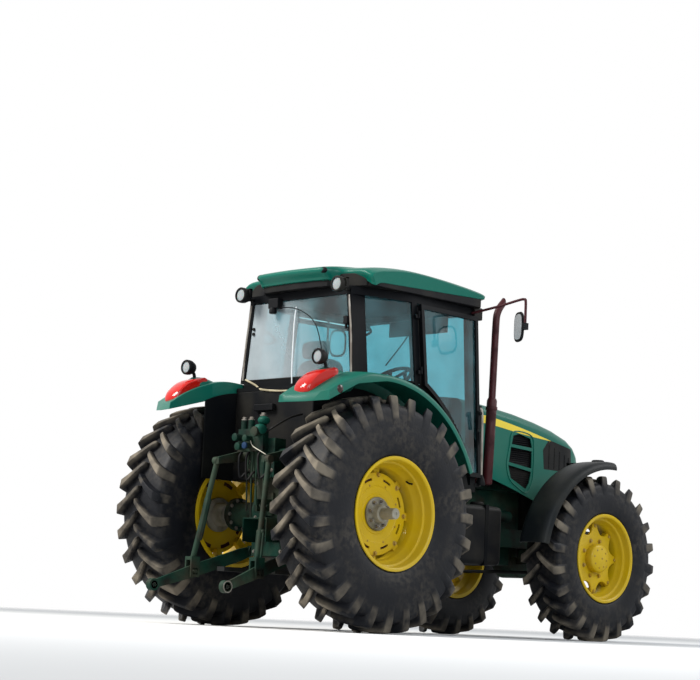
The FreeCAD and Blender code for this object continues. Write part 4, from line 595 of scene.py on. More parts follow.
@dataclass(frozen=True)
class PaintedLightVeil(Finish):
    """A pale veil of painted light on the rear pane for its sunlit look, stronger low down and to the left.
    """

    colour: str = "#a3adb2"
    thick: float = 0.72
    thin: float = 0.03

    def surface(self, tree: bpy.types.NodeTree) -> bpy.types.NodeSocket:
        """Return a pale matt veil over nothing, its cover running across the pane."""
        # Painted light: the cover grows from the pane's upper right to its lower left, in clouds of about 200
        # mm.
        parts = add(tree, "SeparateXYZ", {"Vector": place_in(tree)})
        across = add(tree, "Math", {0: parts.outputs["Y"], 1: 2.2}, operation="MULTIPLY").outputs[0]
        slope = add(tree, "Math", {0: across, 1: parts.outputs["Z"]}, operation="SUBTRACT").outputs[0]
        run = add(tree, "MapRange", {"Value": slope, "From Min": -2.75, "From Max": -1.30,
                                     "To Min": self.thin, "To Max": self.thick})
        clouds = patches(tree, 5.0, 0.25, 0.60, 8.0)
        mottled = add(tree, "MapRange", {"Value": clouds, "To Min": 0.75, "To Max": 1.0})
        veil = product(tree, run.outputs["Result"], mottled.outputs["Result"])
        film = add(tree, "BsdfDiffuse", {"Color": linear(self.colour)})
        clear = add(tree, "BsdfTransparent", {"Color": (1.0, 1.0, 1.0, 1.0)})
        return add(tree, "MixShader", {0: veil, 1: clear.outputs[0], 2: film.outputs[0]}).outputs[0]


@dataclass(frozen=True)
class Lens(Finish):
    """Moulded acrylic lamp lens, coloured through."""

    colour: str = "#b3160e"

    def surface(self, tree: bpy.types.NodeTree) -> bpy.types.NodeSocket:
        """Return a glossy plastic with some depth to its colour."""
        shader = add(tree, "BsdfPrincipled", {
            "Base Color": linear(self.colour), "Roughness": 0.12, "Subsurface Weight": 0.25,
            "Subsurface Radius": (0.02, 0.004, 0.002), "Specular IOR Level": 0.25, "Coat Weight": 0.15})
        return shader.outputs["BSDF"]


@dataclass(frozen=True)
class Steel(Finish):
    """Turned or rolled steel, bare or rusted by heat and weather."""

    bright: str = "#8b8780"
    dull: str = "#4c3b30"
    rust: float = 0.5
    metal: float = 0.9

    def surface(self, tree: bpy.types.NodeTree) -> bpy.types.NodeSocket:
        """Return metal that turns to matt oxide in patches."""
        # Rust spreads in patches of about 110 mm.
        mask = product(tree, patches(tree, 9.0, 0.40, 0.62), self.rust)
        colour = blended(tree, mask, linear(self.bright), linear(self.dull))
        metal = add(tree, "MapRange", {"Value": mask, "To Min": self.metal, "To Max": 0.0})
        rough = add(tree, "MapRange", {"Value": mask, "To Min": 0.38, "To Max": 0.85})
        shader = add(tree, "BsdfPrincipled", {
            "Base Color": colour, "Roughness": rough.outputs["Result"],
            "Metallic": metal.outputs["Result"], "Specular IOR Level": 0.2})
        return shader.outputs["BSDF"]


@dataclass(frozen=True)
class Fabric(Finish):
    """Woven polyester seat cloth over foam."""

    colour: str = "#20262c"

    def surface(self, tree: bpy.types.NodeTree) -> bpy.types.NodeSocket:
        """Return a cloth with slanting ribs of thread."""
        # Threads of 1 mm are too fine to show, so the ribs repeat each 4 mm: 2 pi over 10 times 160.
        weave = add(tree, "TexWave", {"Vector": place_in(tree), "Scale": 160.0}, bands_direction="DIAGONAL")
        bump = add(tree, "Bump", {"Height": weave.outputs["Fac"], "Strength": 0.3, "Distance": 0.001})
        shader = add(tree, "BsdfPrincipled", {
            "Base Color": linear(self.colour), "Roughness": 0.92, "Sheen Weight": 0.35,
            "Normal": bump.outputs["Normal"]})
        return shader.outputs["BSDF"]


@dataclass(frozen=True)
class Ground(Finish):
    """Pale matt studio floor that thins out to the white backdrop."""

    reach: float = 26.0

    def surface(self, tree: bpy.types.NodeTree) -> bpy.types.NodeSocket:
        """Return a pale floor whose edge fades away."""
        away = add(tree, "VectorMath", {0: place_in(tree)}, operation="LENGTH").outputs["Value"]
        fade = add(tree, "MapRange", {"Value": away, "From Min": 0.25 * self.reach, "From Max": self.reach},
                   interpolation_type="SMOOTHSTEP").outputs["Result"]
        under = add(tree, "NewGeometry").outputs["Backfacing"]
        gone = add(tree, "Math", {0: fade, 1: under}, operation="MAXIMUM").outputs[0]
        pale = add(tree, "BsdfDiffuse", {"Color": linear("#dedede")})
        clear = add(tree, "BsdfTransparent")
        return add(tree, "MixShader", {0: gone, 1: pale.outputs[0], 2: clear.outputs[0]}).outputs[0]


# Machinery enamel: an even, slightly soft green gloss under a thin veil of field dust.
GREEN = Enamel("green_two_coat_enamel")
# Wheel enamel: a warm yellow, a little dull, with more dust than the body.
YELLOW = Enamel("yellow_wheel_enamel", colour="#bb9c00", dust=0.20, roughness=0.42, coat=0.1)
# Frame enamel: nearly matt black, so the posts read as dark lines.
BLACK = Enamel("black_frame_enamel", colour="#05070b", dust=0.05, roughness=0.52, coat=0.0, mirror=0.07)
# Chassis paint brushed on sand-cast iron: dark green, grainy and stained.
CASTING = Cast("green_painted_cast_iron")
# The same iron without green paint: a brown black.
DARK_CASTING = Cast("dark_cast_iron", colour="#1b1c1c")
# Moulded polypropylene: black, with a fine grain and hardly a shine.
MOULDED = Plastic("black_moulded_plastic")
# Tyre rubber: blue-black, with paler mud on the lugs.
TYRE = Rubber("muddy_tyre_rubber")
# Toughened glass tinted in the melt: a clear blue-green.
GLASS = Glazing("tinted_cab_glass")
# Painted light on the rear pane: a pale grey veil for its sunlit look, stronger to the left.
REAR_GLASS = PaintedLightVeil("painted_sunlight_veil")
# Moulded acrylic, coloured through: a clear red.
RED_LENS = Lens("red_acrylic_lens")
# The same acrylic in a side reflector: a nearly black red.
DARK_LENS = Lens("dark_acrylic_reflector", colour="#2a1412")
# Wheel enamel worn and dusty on the fasteners.
DARK_YELLOW = Enamel("brushed_yellow_fasteners", colour="#a07c0a", dust=0.9, roughness=0.55, coat=0.0)
# Bare grey iron under dust, on the rear hubs.
DUSTY_CASTING = Cast("dusty_grey_cast_iron", colour="#8d8a7e", dirt="#57523f")
# Moulded fender plastic: charcoal, smoother than the trim.
FENDER_BLACK = Plastic("moulded_fender_plastic", colour="#15191b", roughness=0.42)
# Pressed roof lining: dark grey and matt.
LINING = Plastic("moulded_roof_lining", colour="#2b3038", roughness=0.8)
# Vinyl film: a paler yellow with a clean gloss.
STRIPE = Enamel("yellow_vinyl_stripe", colour="#dfc63c", dust=0.2, roughness=0.35, coat=0.3)
# Smoked lamp lens: black and shiny.
HEADLAMP = Plastic("smoked_headlamp_lens", colour="#090c0f", roughness=0.16)
# Frosted lamp lens: pale grey.
CLEAR_LENS = Lens("frosted_clear_lens", colour="#8f9597")
# Silvered glass: bright, with a slight haze.
MIRROR = Steel("silvered_mirror_glass", bright="#cfd3d6", dull="#b9bcbd", rust=0.1, metal=1.0)
# Primer enamel on the mirror tubes: dark red and dull.
DARK_RED = Enamel("dark_red_tube_enamel", colour="#37151a", dust=0.1, roughness=0.5, coat=0.0)
# A steel sill with dust lying on it: a pale sand colour.
DUSTY_STEEL = Steel("dust_coated_sill_steel", bright="#a99f84", dull="#7f7660", rust=0.6, metal=0.0)
# A moulded dust cap: dark blue.
CAP_BLUE = Plastic("dark_blue_coupling_caps", colour="#1d3350")
# Sheathed wire: off-white.
PALE_WIRE = Plastic("pale_sheathed_wire", colour="#c9c4b4")
# Powder-coated wiper arm: near white.
PALE_ARM = Plastic("pale_coated_wiper_arm", colour="#dfe4e6", dust=0.0)
# Enamel on the valve caps: green, and cleaner than the castings.
VALVE_GREEN = Enamel("green_valve_cap_enamel", colour="#07473b", dust=0.1, roughness=0.5, coat=0.0,
                     mirror=0.10)
# Turned steel: grey with brown patches.
BARE = Steel("dusty_bare_steel")
# Steel rusted by heat: a dull red-brown.
RUSTED = Steel("heat_rusted_steel", bright="#3a1216", dull="#260d10", rust=0.8, metal=0.0)
# Woven polyester over foam: dark and soft-edged.
CLOTH = Fabric("woven_seat_cloth")

SLOT_FINISH = {
    Slot.GREEN: GREEN, Slot.YELLOW: YELLOW, Slot.BLACK: BLACK, Slot.CASTING: CASTING,
    Slot.DARK_CASTING: DARK_CASTING, Slot.PLASTIC: MOULDED, Slot.RUBBER: TYRE, Slot.GLASS: GLASS,
    Slot.RED_LENS: RED_LENS, Slot.LAMP: MOULDED, Slot.CLOTH: CLOTH, Slot.STEEL: BARE, Slot.RUST: RUSTED,
}


def meshed(name: str, shape: Shape) -> bpy.types.Mesh:
    """Return a mesh of a shape given in stations, its seams merged and its faces turned outward."""
    mesh = bpy.data.meshes.new(name)
    points = shape.points + np.array([SHIFT, 0.0, 0.0])
    loops = np.concatenate([faces.ravel() for faces in shape.faces])
    sizes = np.concatenate([np.full(len(faces), faces.shape[1]) for faces in shape.faces])
    mesh.vertices.add(len(points))
    mesh.vertices.foreach_set("co", points.ravel())
    mesh.loops.add(len(loops))
    mesh.loops.foreach_set("vertex_index", loops.astype(np.int32))
    mesh.polygons.add(len(sizes))
    mesh.polygons.foreach_set("loop_start", np.concatenate(([0], np.cumsum(sizes)[:-1])).astype(np.int32))
    mesh.update(calc_edges=True)
    if shape.value.any():
        mesh.attributes.new("mud", "FLOAT", "POINT").data.foreach_set("value", shape.value)
    tidy = bmesh.new()
    tidy.from_mesh(mesh)
    bmesh.ops.remove_doubles(tidy, verts=tidy.verts, dist=1e-5)
    bmesh.ops.recalc_face_normals(tidy, faces=tidy.faces)
    tidy.to_mesh(mesh)
    tidy.free()
    return mesh


def dressed(name: str, mesh: bpy.types.Mesh, finish: Finish, body: str,
            replaces: tuple[str, ...], bevel: float, segments: int, crease: float) -> bpy.types.Object:
    """Give a mesh its object, smooth shading, rounded edges, finish and body.

    Args:
        name: The piece's name.
        mesh: Its mesh.
        finish: Its finish.
        body: The body it rides on.
        replaces: CAD nodes that it stands for.
        bevel: Width of its rounded edges.
        segments: Steps of each rounded edge.
        crease: Angle in degrees above which an edge stays sharp and is rounded.

    Returns:
        The finished piece.
    """
    mesh.shade_smooth()
    mesh.set_sharp_from_angle(angle=math.radians(crease))
    piece = bpy.data.objects.new(name, mesh)
    bpy.context.scene.collection.objects.link(piece)
    mesh.materials.clear()
    mesh.materials.append(finish.material())
    if bevel:
        edge = piece.modifiers.new("rounded_edges", "BEVEL")
        edge.width, edge.segments = bevel, segments
        edge.limit_method, edge.angle_limit = "ANGLE", math.radians(crease)
        edge.harden_normals = True
    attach(piece, body)
    if replaces:
        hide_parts(*replaces)
    LOG.info("%s: %d faces", name, len(mesh.polygons))
    return piece


@dataclass
class Frame:
    """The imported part, whose nodes keep their shape and take finishes."""

    loaded: dict
    slots: dict[str, Slot] = field(default_factory=dict)

    def dress(self) -> None:
        """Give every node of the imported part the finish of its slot."""
        record = self.loaded["record"]
        self.slots = {part["node"]: Slot(part["material_slot"]) for part in record["subparts"]}
        for name, node in self.loaded["nodes"].items():
            finish = SLOT_FINISH[self.slots[name]]
            node.data.materials.clear()
            node.data.materials.append(finish.material())
        self.loaded["nodes"]["cab_glass"].data.materials[0] = GLASS.material()
        LOG.info("dressed %d nodes", len(self.loaded["nodes"]))

    def piece(self, name: str, shape: Shape, finish: Finish, like: str, stands: bool = False,
              bevel: float = 0.0, segments: int = 2, crease: float = 35.0,
              slot: Slot | None = None) -> bpy.types.Object:
        """Build one piece from a shape given in stations.

        Args:
            name: The piece's name.
            shape: Its surface.
            finish: Its finish.
            like: The node whose body it takes.
            stands: Whether it replaces that node.
            bevel: Width of its rounded edges.
            segments: Steps of each rounded edge.
            crease: Angle in degrees above which an edge stays sharp and is rounded.
            slot: A material slot other than the node's, which is not used.

        Returns:
            The finished piece.
        """
        node = self.loaded["nodes"][like]
        return dressed(name, meshed(name, shape), finish, node["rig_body"],
                       (like,) if stands else (), bevel, segments, crease)

    def softened(self, name: str, finish: Finish, bevel: float, segments: int = 2,
                 crease: float = 32.0) -> bpy.types.Object:
        """Stand a merged copy of a node in for it, with rounded edges.

        Args:
            name: The node.
            finish: The copy's finish.
            bevel: Width of its rounded edges.
            segments: Steps of each rounded edge.
            crease: Angle in degrees above which an edge is rounded.

        Returns:
            The copy.
        """
        node = self.loaded["nodes"][name]
        mesh = node.data.copy()
        tidy = bmesh.new()
        tidy.from_mesh(mesh)
        bmesh.ops.remove_doubles(tidy, verts=tidy.verts, dist=2e-5)
        bmesh.ops.dissolve_limit(tidy, angle_limit=math.radians(1.0), verts=tidy.verts, edges=tidy.edges)
        bmesh.ops.recalc_face_normals(tidy, faces=tidy.faces)
        tidy.to_mesh(mesh)
        tidy.free()
        if "custom_normal" in mesh.attributes:
            mesh.attributes.remove(mesh.attributes["custom_normal"])
        return dressed("soft_" + name, mesh, finish, node["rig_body"], (name,), bevel,
                       segments, crease)


@dataclass
class Tyre:
    """A lugged drive tyre: a carcass turned about the axle and two rows of slanting lugs."""

    node: str
    x: float
    y: float
    z: float
    radius: float
    half: float
    bead: float
    bead_edge: float
    flange: float
    lug_count: int
    lug_height: float
    lug_width: float
    lug_run: float

    def outline(self) -> np.ndarray:
        """Return one half of the carcass outline from the centre line to the bead, as (radius, out)."""
        base = self.radius - self.lug_height
        tall = base - self.flange
        rows = [(base, 0.0), (base - 0.003, 0.30 * self.half), (base - 0.009, 0.60 * self.half),
                (base - 0.018, 0.80 * self.half), (base - 0.040, 0.91 * self.half),
                (base - 0.085, 0.955 * self.half), (self.flange + 0.58 * tall, 0.985 * self.half),
                (self.flange + 0.40 * tall, self.half), (self.flange + 0.20 * tall, 0.975 * self.half),
                (self.flange + 0.05 * tall, self.bead_edge + 0.010), (self.flange + 0.004, self.bead_edge),
                (self.bead + 0.002, self.bead_edge - 0.004)]
        return spline(np.array(rows), 34)

    def carcass(self) -> Shape:
        """Return the closed tyre ring with a liner inside."""
        half = self.outline()
        inner = np.array([(self.bead + 0.002, 0.6 * self.bead_edge), (self.bead + 0.03, 0.0)])
        ring = np.concatenate([half, inner[:1], inner[1:], inner[:1] * [1, -1], (half * [1, -1])[:0:-1]])
        return revolved(ring, (self.x, self.y, self.z), segments=108)

    def lug(self) -> Shape:
        """Return one lug: four corners a station, from a blunt nose at the middle to a cut-off end.

        The columns are the share of the half width, the drop of the lug's top as a share of the
        radius, its width as a multiple and the share of its run round the tyre.
        """
        share, drop, wide, run = np.array([
            (-0.05, 0.016, 0.50, -0.06), (0.02, 0.002, 0.84, 0.03), (0.14, 0.0, 0.92, 0.20),
            (0.32, 0.0, 0.98, 0.43), (0.52, 0.001, 1.08, 0.66), (0.72, 0.003, 1.28, 0.87),
            (0.86, 0.007, 1.50, 1.0), (0.90, 0.020, 1.52, 1.03), (0.945, 0.085, 1.36, 1.05),
            (0.985, 0.165, 1.12, 1.05)]).T
        half = self.outline()
        widest = int(np.argmax(half[:, 1]))
        out = share * self.half
        low = np.interp(np.abs(out), half[:widest + 1, 1], half[:widest + 1, 0]) - 0.010
        high = np.maximum(self.radius * (1.0 - drop), low + 0.014)
        turn = self.lug_run * run / self.radius
        top = self.lug_width * wide
        foot = top + 0.026
        rows = []
        for across, radius in ((-foot / 2, low), (-top / 2, high), (top / 2, high), (foot / 2, low)):
            angle = math.pi / 2 + turn + across / np.maximum(radius, 0.2)
            rows.append(np.stack([self.x + radius * np.cos(angle), self.y + out,
                                  self.z + radius * np.sin(angle)], -1))
        value = np.zeros((len(share), 4))
        value[:, 1:3] = 1.0 - 0.3 * np.clip(share, 0, 1)[:, None] ** 3
        return skinned(np.stack(rows, 1), value=value)

    def build(self, frame: Frame) -> None:
        """Build the tyre with its two staggered rows of lugs."""
        step = FULL_TURN / self.lug_count
        angles = np.arange(self.lug_count) * step
        lug = self.lug()
        centre = (self.x, self.y, self.z)
        one = lug.spun(Axis.Y, -angles, centre)
        flipped = lug.moved((0, -self.y, 0)).mirrored(-1.0).moved((0, self.y, 0))
        other = flipped.spun(Axis.Y, -angles - step / 2, centre)
        frame.piece("tread_" + self.node, joined(self.carcass(), one, other), TYRE, self.node, True,
                    bevel=0.005, segments=1, crease=40.0)


def tyres() -> list[Tyre]:
    """Return the four tyres."""
    found = []
    for name, side in SIDES:
        found.append(Tyre("rear_tyre_" + name, 0.0, 0.855 * side, 0.858, 0.858, 0.235, 0.393, 0.2047,
                          0.415, 27, 0.055, 0.046, 0.16))
        found.append(Tyre("front_tyre_" + name, 2.59, 0.8 * side, 0.67, 0.67, 0.189, 0.338, 0.1637,
                          0.360, 22, 0.048, 0.040, 0.13))
    return found


def barrel(flange: float, bead: float, well: float, half: float) -> np.ndarray:
    """Return a rim's outline as (radius, out): flanges, bead seats, well, and two ridges outboard.

    Args:
        flange: Radius of the flange.
        bead: Radius of the bead seat.
        well: Radius of the well.
        half: Half the rim's width.
    """
    seat, edge = bead - 0.0003, half - 0.012
    return np.array([
        (flange - 0.003, -half), (flange, -half + 0.003), (flange, -edge), (seat, -edge),
        (seat, -0.35 * half), (well, -0.2 * half), (well, 0.25 * half), (seat, 0.42 * half),
        (seat, edge), (flange, edge), (flange, half - 0.003), (flange - 0.003, half + 0.001),
        (seat + 0.004, half + 0.001), (seat - 0.006, half - 0.006), (seat - 0.010, half - 0.018),
        (seat - 0.010, 0.70 * half), (seat - 0.014, 0.66 * half), (seat - 0.026, 0.64 * half),
        (seat - 0.030, 0.60 * half), (seat - 0.030, 0.54 * half), (well - 0.004, 0.36 * half),
        (well - 0.010, 0.30 * half), (well - 0.010, -0.2 * half - 0.006),
        (seat - 0.010, -0.35 * half - 0.006), (seat - 0.010, -half)])


@dataclass
class RearWheel:
    """A rear wheel: welded rim, slotted disc on eight lugs, and a cast hub on its bar axle."""

    name: str
    side: float
    track: float = 0.855
    up: float = 0.858
    disc: float = 0.300
    well: float = 0.345
    lug_count: int = 8
    stud_ring: float = 0.094
    steps: int = 160

    def slot_backs(self) -> Shape:
        """Return dark plates that show through the disc's slots as painted shadow in the slot openings: short
        arcs of a flat ring.
        """
        radii = np.array([0.240, 0.268])
        plates = []
        for start in np.arange(self.lug_count) * FULL_TURN / self.lug_count:
            arc = start + np.linspace(5.4, 14.6, 12)[:, None] * FULL_TURN / self.steps
            front = np.stack([radii * np.cos(arc), 0.0045 + 0 * radii * arc, radii * np.sin(arc)], -1)
            plates.append(sheet(front, front - [0.0, 0.002, 0.0]))
        return joined(*plates)

    def disc_shape(self) -> Shape:
        """Return the disc: a polar plate with a stepped face and a curved slot between the lugs."""
        radii = np.array([0.0405, 0.10, 0.142, 0.148, 0.200, 0.206, 0.232, 0.246, 0.262, 0.284, 0.296,
                          self.disc])
        face = np.interp(radii, [0.04, 0.142, 0.148, 0.200, 0.206, 0.284, 0.300],
                         [0.019, 0.019, 0.014, 0.016, 0.021, 0.021, 0.019])
        angle = np.linspace(0, FULL_TURN, self.steps, endpoint=False)[:, None]
        grid = [np.stack([radii * np.cos(angle), out + 0 * angle, radii * np.sin(angle)], -1)
                for out in (face, np.full_like(face, 0.005))]
        kept = np.ones((self.steps, len(radii) - 1), bool)
        place = np.arange(self.steps) % (self.steps // self.lug_count)
        kept[(place > 5) & (place < 14), 7] = False
        return sheet(grid[0], grid[1], kept, closed=True)

    def placed(self, shape: Shape) -> Shape:
        """Return a shape made outward along y, stood at the wheel."""
        return shape.mirrored(self.side).moved((0.0, self.side * self.track, self.up))

    def build(self, frame: Frame) -> None:
        """Build rim, disc, bolts, hub, studs and valve."""
        angles = np.arange(self.lug_count) * FULL_TURN / self.lug_count
        origin = (0.0, 0.0, 0.0)
        lugs = block((0.266, -0.045, -0.029), (self.well - 0.007, 0.005, 0.029)).spun(Axis.Y, angles, origin)
        rim = joined(revolved(barrel(0.415, 0.393, self.well, 0.217), origin, segments=120),
                     self.disc_shape(), lugs)
        node = "rear_wheel_" + self.name
        frame.piece("rim_" + node, self.placed(rim), YELLOW, node, True, bevel=0.002, segments=1)
        bolts = bolt((0.284, 0.020, 0.0), Axis.Y, 1.0, 0.013, 0.016).spun(Axis.Y, angles, origin)
        small = bolt((0.215, 0.020, 0.0), Axis.Y, 1.0, 0.006, 0.006).spun(Axis.Y, angles + 0.39, origin)
        frame.piece("disc_bolts_" + self.name, self.placed(joined(bolts, small)), DARK_YELLOW, node)
        valve = tube([(0.22, 0.095, 0.25), (0.225, 0.125, 0.235), (0.23, 0.150, 0.232)], 0.007, 8)
        frame.piece("valve_" + self.name, self.placed(valve), MOULDED, node)
        # Painted shadow: dark plates fill the disc's slots where the shade behind the disc would show.
        frame.piece("slot_shadow_" + self.name, self.placed(self.slot_backs()), RUSTED, node)
        node = "rear_hub_" + self.name
        core = [
            (0, -0.265), (0.040, -0.265), (0.040, -0.125), (0.078, -0.125), (0.082, -0.120),
            (0.094, -0.028), (0.131, -0.023), (0.134, -0.020), (0.134, 0.0045), (0.040, 0.0045),
            (0.040, 0.017), (0.112, 0.0195), (0.122, 0.022), (0.122, 0.034), (0.116, 0.039),
            (0.074, 0.041), (0.068, 0.050), (0.062, 0.084), (0.056, 0.089), (0.042, 0.089),
            (0.040, 0.212), (0.036, 0.217), (0.012, 0.217), (0.010, 0.211), (0, 0.211)]
        frame.piece("cast_" + node, self.placed(revolved(core, origin, segments=72)), DUSTY_CASTING, node,
                    True)
        stud = bolt((self.stud_ring, 0.0385, 0.0), Axis.Y, 1.0, 0.0135, 0.024)
        studs = stud.spun(Axis.Y, angles + 0.2, origin)
        tip = tube([(self.stud_ring, 0.055, 0.0), (self.stud_ring, 0.072, 0.0)], 0.006, 8)
        frame.piece("studs_" + self.name, self.placed(joined(studs, tip.spun(Axis.Y, angles + 0.2, origin))),
                    BARE, node)


@dataclass
class FrontWheel:
    """A front wheel: welded rim, eight-lobed disc and a domed hub cover."""

    name: str
    side: float
    x: float = 2.590
    track: float = 0.800
    up: float = 0.670
    lobes: int = 8

    def disc_shape(self) -> Shape:
        """Return the lobed disc, whose edge dips in a round bay between every two lobes.

        Seen from a bay's centre line the edge follows a circle of bay radius about a point at the
        rim, and stays at the lobe's reach beyond it.
        """
        count = 24 * self.lobes
        angle = np.linspace(0, FULL_TURN, count, endpoint=False)
        pitch = FULL_TURN / self.lobes
        off = np.abs((angle / pitch + 0.5) % 1.0 - 0.5) * pitch
        bay = np.clip(pitch / 2 - off, 0.0, None)
        reach, rim, depth = 0.279, 0.292, 0.086
        inside = depth ** 2 - (rim * bay) ** 2
        edge = np.where(inside > 0, rim - np.sqrt(np.clip(inside, 0, None)), reach)
        edge = np.minimum(edge, reach)[:, None]
        share = np.array([0.0, 0.25, 0.5, 0.75, 0.93, 1.0])
        radii = 0.100 + (edge - 0.100) * share
        angle = angle[:, None]
        dish = 0.054 + 0.010 * np.sin(math.pi * np.clip((radii - 0.115) / 0.17, 0, 1))
        front = np.stack([radii * np.cos(angle), dish - 0.004 * (share > 0.97), radii * np.sin(angle)], -1)
        back = np.stack([radii * np.cos(angle), 0.040 + 0 * radii, radii * np.sin(angle)], -1)
        return sheet(front, back, closed=True)

    def placed(self, shape: Shape) -> Shape:
        """Return a shape made outward along y, stood at the wheel."""
        return shape.mirrored(self.side).moved((self.x, self.side * self.track, self.up))

    def build(self, frame: Frame) -> None:
        """Build rim, disc, hub and bolts."""
        origin = (0.0, 0.0, 0.0)
        angles = np.arange(self.lobes) * FULL_TURN / self.lobes
        node = "front_wheel_" + self.name
        lugs = block((0.238, -0.008, -0.025), (0.289, 0.0405, 0.025)).spun(Axis.Y, angles, origin)
        hub = revolved([
            (0, -0.036), (0.118, -0.036), (0.140, -0.016), (0.140, 0.0405), (0.112, 0.046), (0.115, 0.056),
            (0.115, 0.108), (0.110, 0.116), (0.098, 0.1245), (0.0, 0.1255)], origin, segments=72)
        rim = joined(revolved(barrel(0.360, 0.338, 0.296, 0.176), origin, segments=112), self.disc_shape(),
                     lugs, hub)
        frame.piece("rim_" + node, self.placed(rim), YELLOW, node, True, bevel=0.002, segments=1)
        bolts = joined(bolt((0.262, 0.052, 0.0), Axis.Y, 1.0, 0.012, 0.015).spun(Axis.Y, angles, origin),
                       bolt((0.152, 0.060, 0.0), Axis.Y, 1.0, 0.012, 0.018).spun(Axis.Y, angles + 0.39,
                                                                                  origin),
                       bolt((0.078, 0.124, 0.0), Axis.Y, 1.0, 0.006, 0.005).spun(Axis.Y, angles + 0.2,
                                                                                  origin),
                       bolt((0.020, 0.124, 0.0), Axis.Y, 1.0, 0.008, 0.006))
        frame.piece("front_bolts_" + self.name, self.placed(bolts), DARK_YELLOW, node)


@dataclass
class RearFenders:
    """Pressed fenders over the rear wheels: an arch, an outer lip and a humped tail."""

    up: float = 0.807
    radius: float = 1.065
    crown: float = 1.872
    skin: float = 0.018
    lip: float = 0.051
    flange: float = 0.085
    joint: float = -0.020
    inner: float = 0.600
    outer: float = 0.950

    def grids(self) -> tuple[np.ndarray, np.ndarray]:
        """Return the upper and the under face as stations by columns by three.

        The arch runs at its radius from its front end to the joint. The tail's three given outlines
        are carried across the width by a curve, and along the fender by another.
        """
        across = np.array([0.600, 0.606, 0.640, 0.690, 0.740, 0.790, 0.840, 0.885, 0.922, 0.938, 0.946,
                           0.950])
        drop = np.array([0.006, 0.001, 0, 0, 0, 0, 0, 0, 0.001, 0.005, 0.012, 0.024])
        under = np.where(across > 0.93, self.lip, np.where(across < 0.61, self.flange, self.skin))
        angle = np.linspace(math.radians(24.0), math.acos(self.joint / self.radius), 34)[:, None]
        arch = []
        for radius in (self.radius - drop, self.radius - under):
            arch.append(np.stack([radius * np.cos(angle), across + 0 * angle,
                                  self.up + radius * np.sin(angle)], -1))
        tail = np.array([
            [(-0.020, 0.0), (-0.210, 0.002), (-0.400, -0.040), (-0.600, -0.118), (-0.762, -0.215)],
            [(-0.020, 0.0), (-0.210, 0.006), (-0.400, -0.046), (-0.550, -0.124), (-0.680, -0.205)],
            [(-0.020, 0.0), (-0.190, -0.010), (-0.350, -0.058), (-0.490, -0.110), (-0.595, -0.172)]])
        where = np.interp(across, [0.600, 0.790, 0.950], [0.0, 1.0, 2.0])
        a, b, c = tail
        t = where[:, None, None]
        wide = a + (b - a) * t + (c - 2 * b + a) * t * (t - 1) / 2
        top = spline(wide.transpose(1, 0, 2), 26)[1:]
        share = np.linspace(0, 1, 26)[1:, None]
        rear = np.interp(across, [0.600, 0.790, 0.950], [-0.770, -0.695, -0.606])
        low = np.interp(across, [0.600, 0.790, 0.950], [-0.270, -0.265, -0.250])
        mid = 0.5 * (self.joint + rear)
        held = self.radius - under
        ends = [np.sqrt(held ** 2 - x ** 2) + self.up - self.crown for x in (self.joint + 0 * mid, mid)]
        x = np.where(share < 0.5, self.joint + (mid - self.joint) * 2 * share,
                     mid + (rear - mid) * (2 * share - 1))
        z = np.where(share < 0.5, ends[0] + (ends[1] - ends[0]) * 2 * share,
                     ends[1] + (low - ends[1]) * (2 * share - 1))
        upper = np.stack([top[..., 0], across + 0 * top[..., 0], self.crown + top[..., 1] - drop], -1)
        lower = np.stack([x, across + 0 * x, self.crown + z], -1)
        return np.concatenate([arch[0], upper]), np.concatenate([arch[1], lower])

    def wall(self) -> Shape:
        """Return the inner wall: the arch's disc between the floor and the green flange."""
        radius = self.radius - self.flange + 0.012
        angle = np.linspace(math.asin(0.303 / radius), math.acos(-0.42 / radius), 40)
        arc = np.column_stack([np.minimum(radius * np.cos(angle), 1.0), self.up + radius * np.sin(angle)])
        foot = np.array([(-0.42, 1.11)])
        return prism(np.concatenate([arc, foot]), self.inner - 0.015, self.inner)

    def lamp(self) -> Shape:
        """Return the left tail lamp: a leaf-shaped outline that shrinks toward both its sides."""
        outline = [(-0.676, -0.190), (-0.664, -0.132), (-0.598, -0.064), (-0.535, -0.024), (-0.470, -0.002),
                   (-0.410, 0.014), (-0.366, 0.018), (-0.348, -0.010), (-0.362, -0.062), (-0.450, -0.120),
                   (-0.560, -0.176), (-0.640, -0.206)]
        rim = spline(outline, 44, closed=True) + [0.0, self.crown]
        middle = rim.mean(0)
        rows = [np.insert(middle + (rim - middle) * share, 1, y, axis=1)
                for y, share in ((0.640, 0.80), (0.648, 0.93), (0.668, 1.0), (0.710, 1.02), (0.756, 1.0),
                                 (0.782, 0.93), (0.794, 0.80))]
        return skinned(np.array(rows))

    def build(self, frame: Frame) -> None:
        """Build both fenders, their lamps, reflectors and edge bolts."""
        upper, lower = self.grids()
        frame.piece("pressed_rear_fenders", both_sides(sheet(upper, lower)), GREEN, "rear_fenders", True,
                    bevel=0.003, segments=2, crease=50.0)
        frame.piece("fender_inner_walls", both_sides(self.wall()), BLACK, "rear_fenders", bevel=0.003)
        pod = pillow((-0.330, 0.712, 1.806), (0.180, 0.088, 0.078), lean=0.20, power=0.85, steps=(24, 40))
        frame.piece("tail_lamp_pods", both_sides(pod), GREEN, "rear_fenders")
        frame.piece("moulded_tail_lamps", both_sides(self.lamp()), RED_LENS, "tail_lamps", True)
        eye = revolved([(0, -0.004), (0.030, -0.004), (0.030, 0.004), (0.026, 0.007), (0, 0.008)],
                       (-0.500, 0.9465, 1.712), Axis.Y, 28)
        frame.piece("side_reflectors", both_sides(eye), DARK_LENS, "tail_lamps")
        angle = np.radians(np.array([30.0, 44.0, 58.0, 72.0, 86.0]))
        heads = [bolt((self.radius * math.cos(a), 0.585, self.up + (self.radius - 0.05) * math.sin(a)),
                      Axis.Y, -1.0, 0.009, 0.008) for a in angle]
        frame.piece("fender_bolts", both_sides(joined(*heads)), BARE, "rear_fenders")


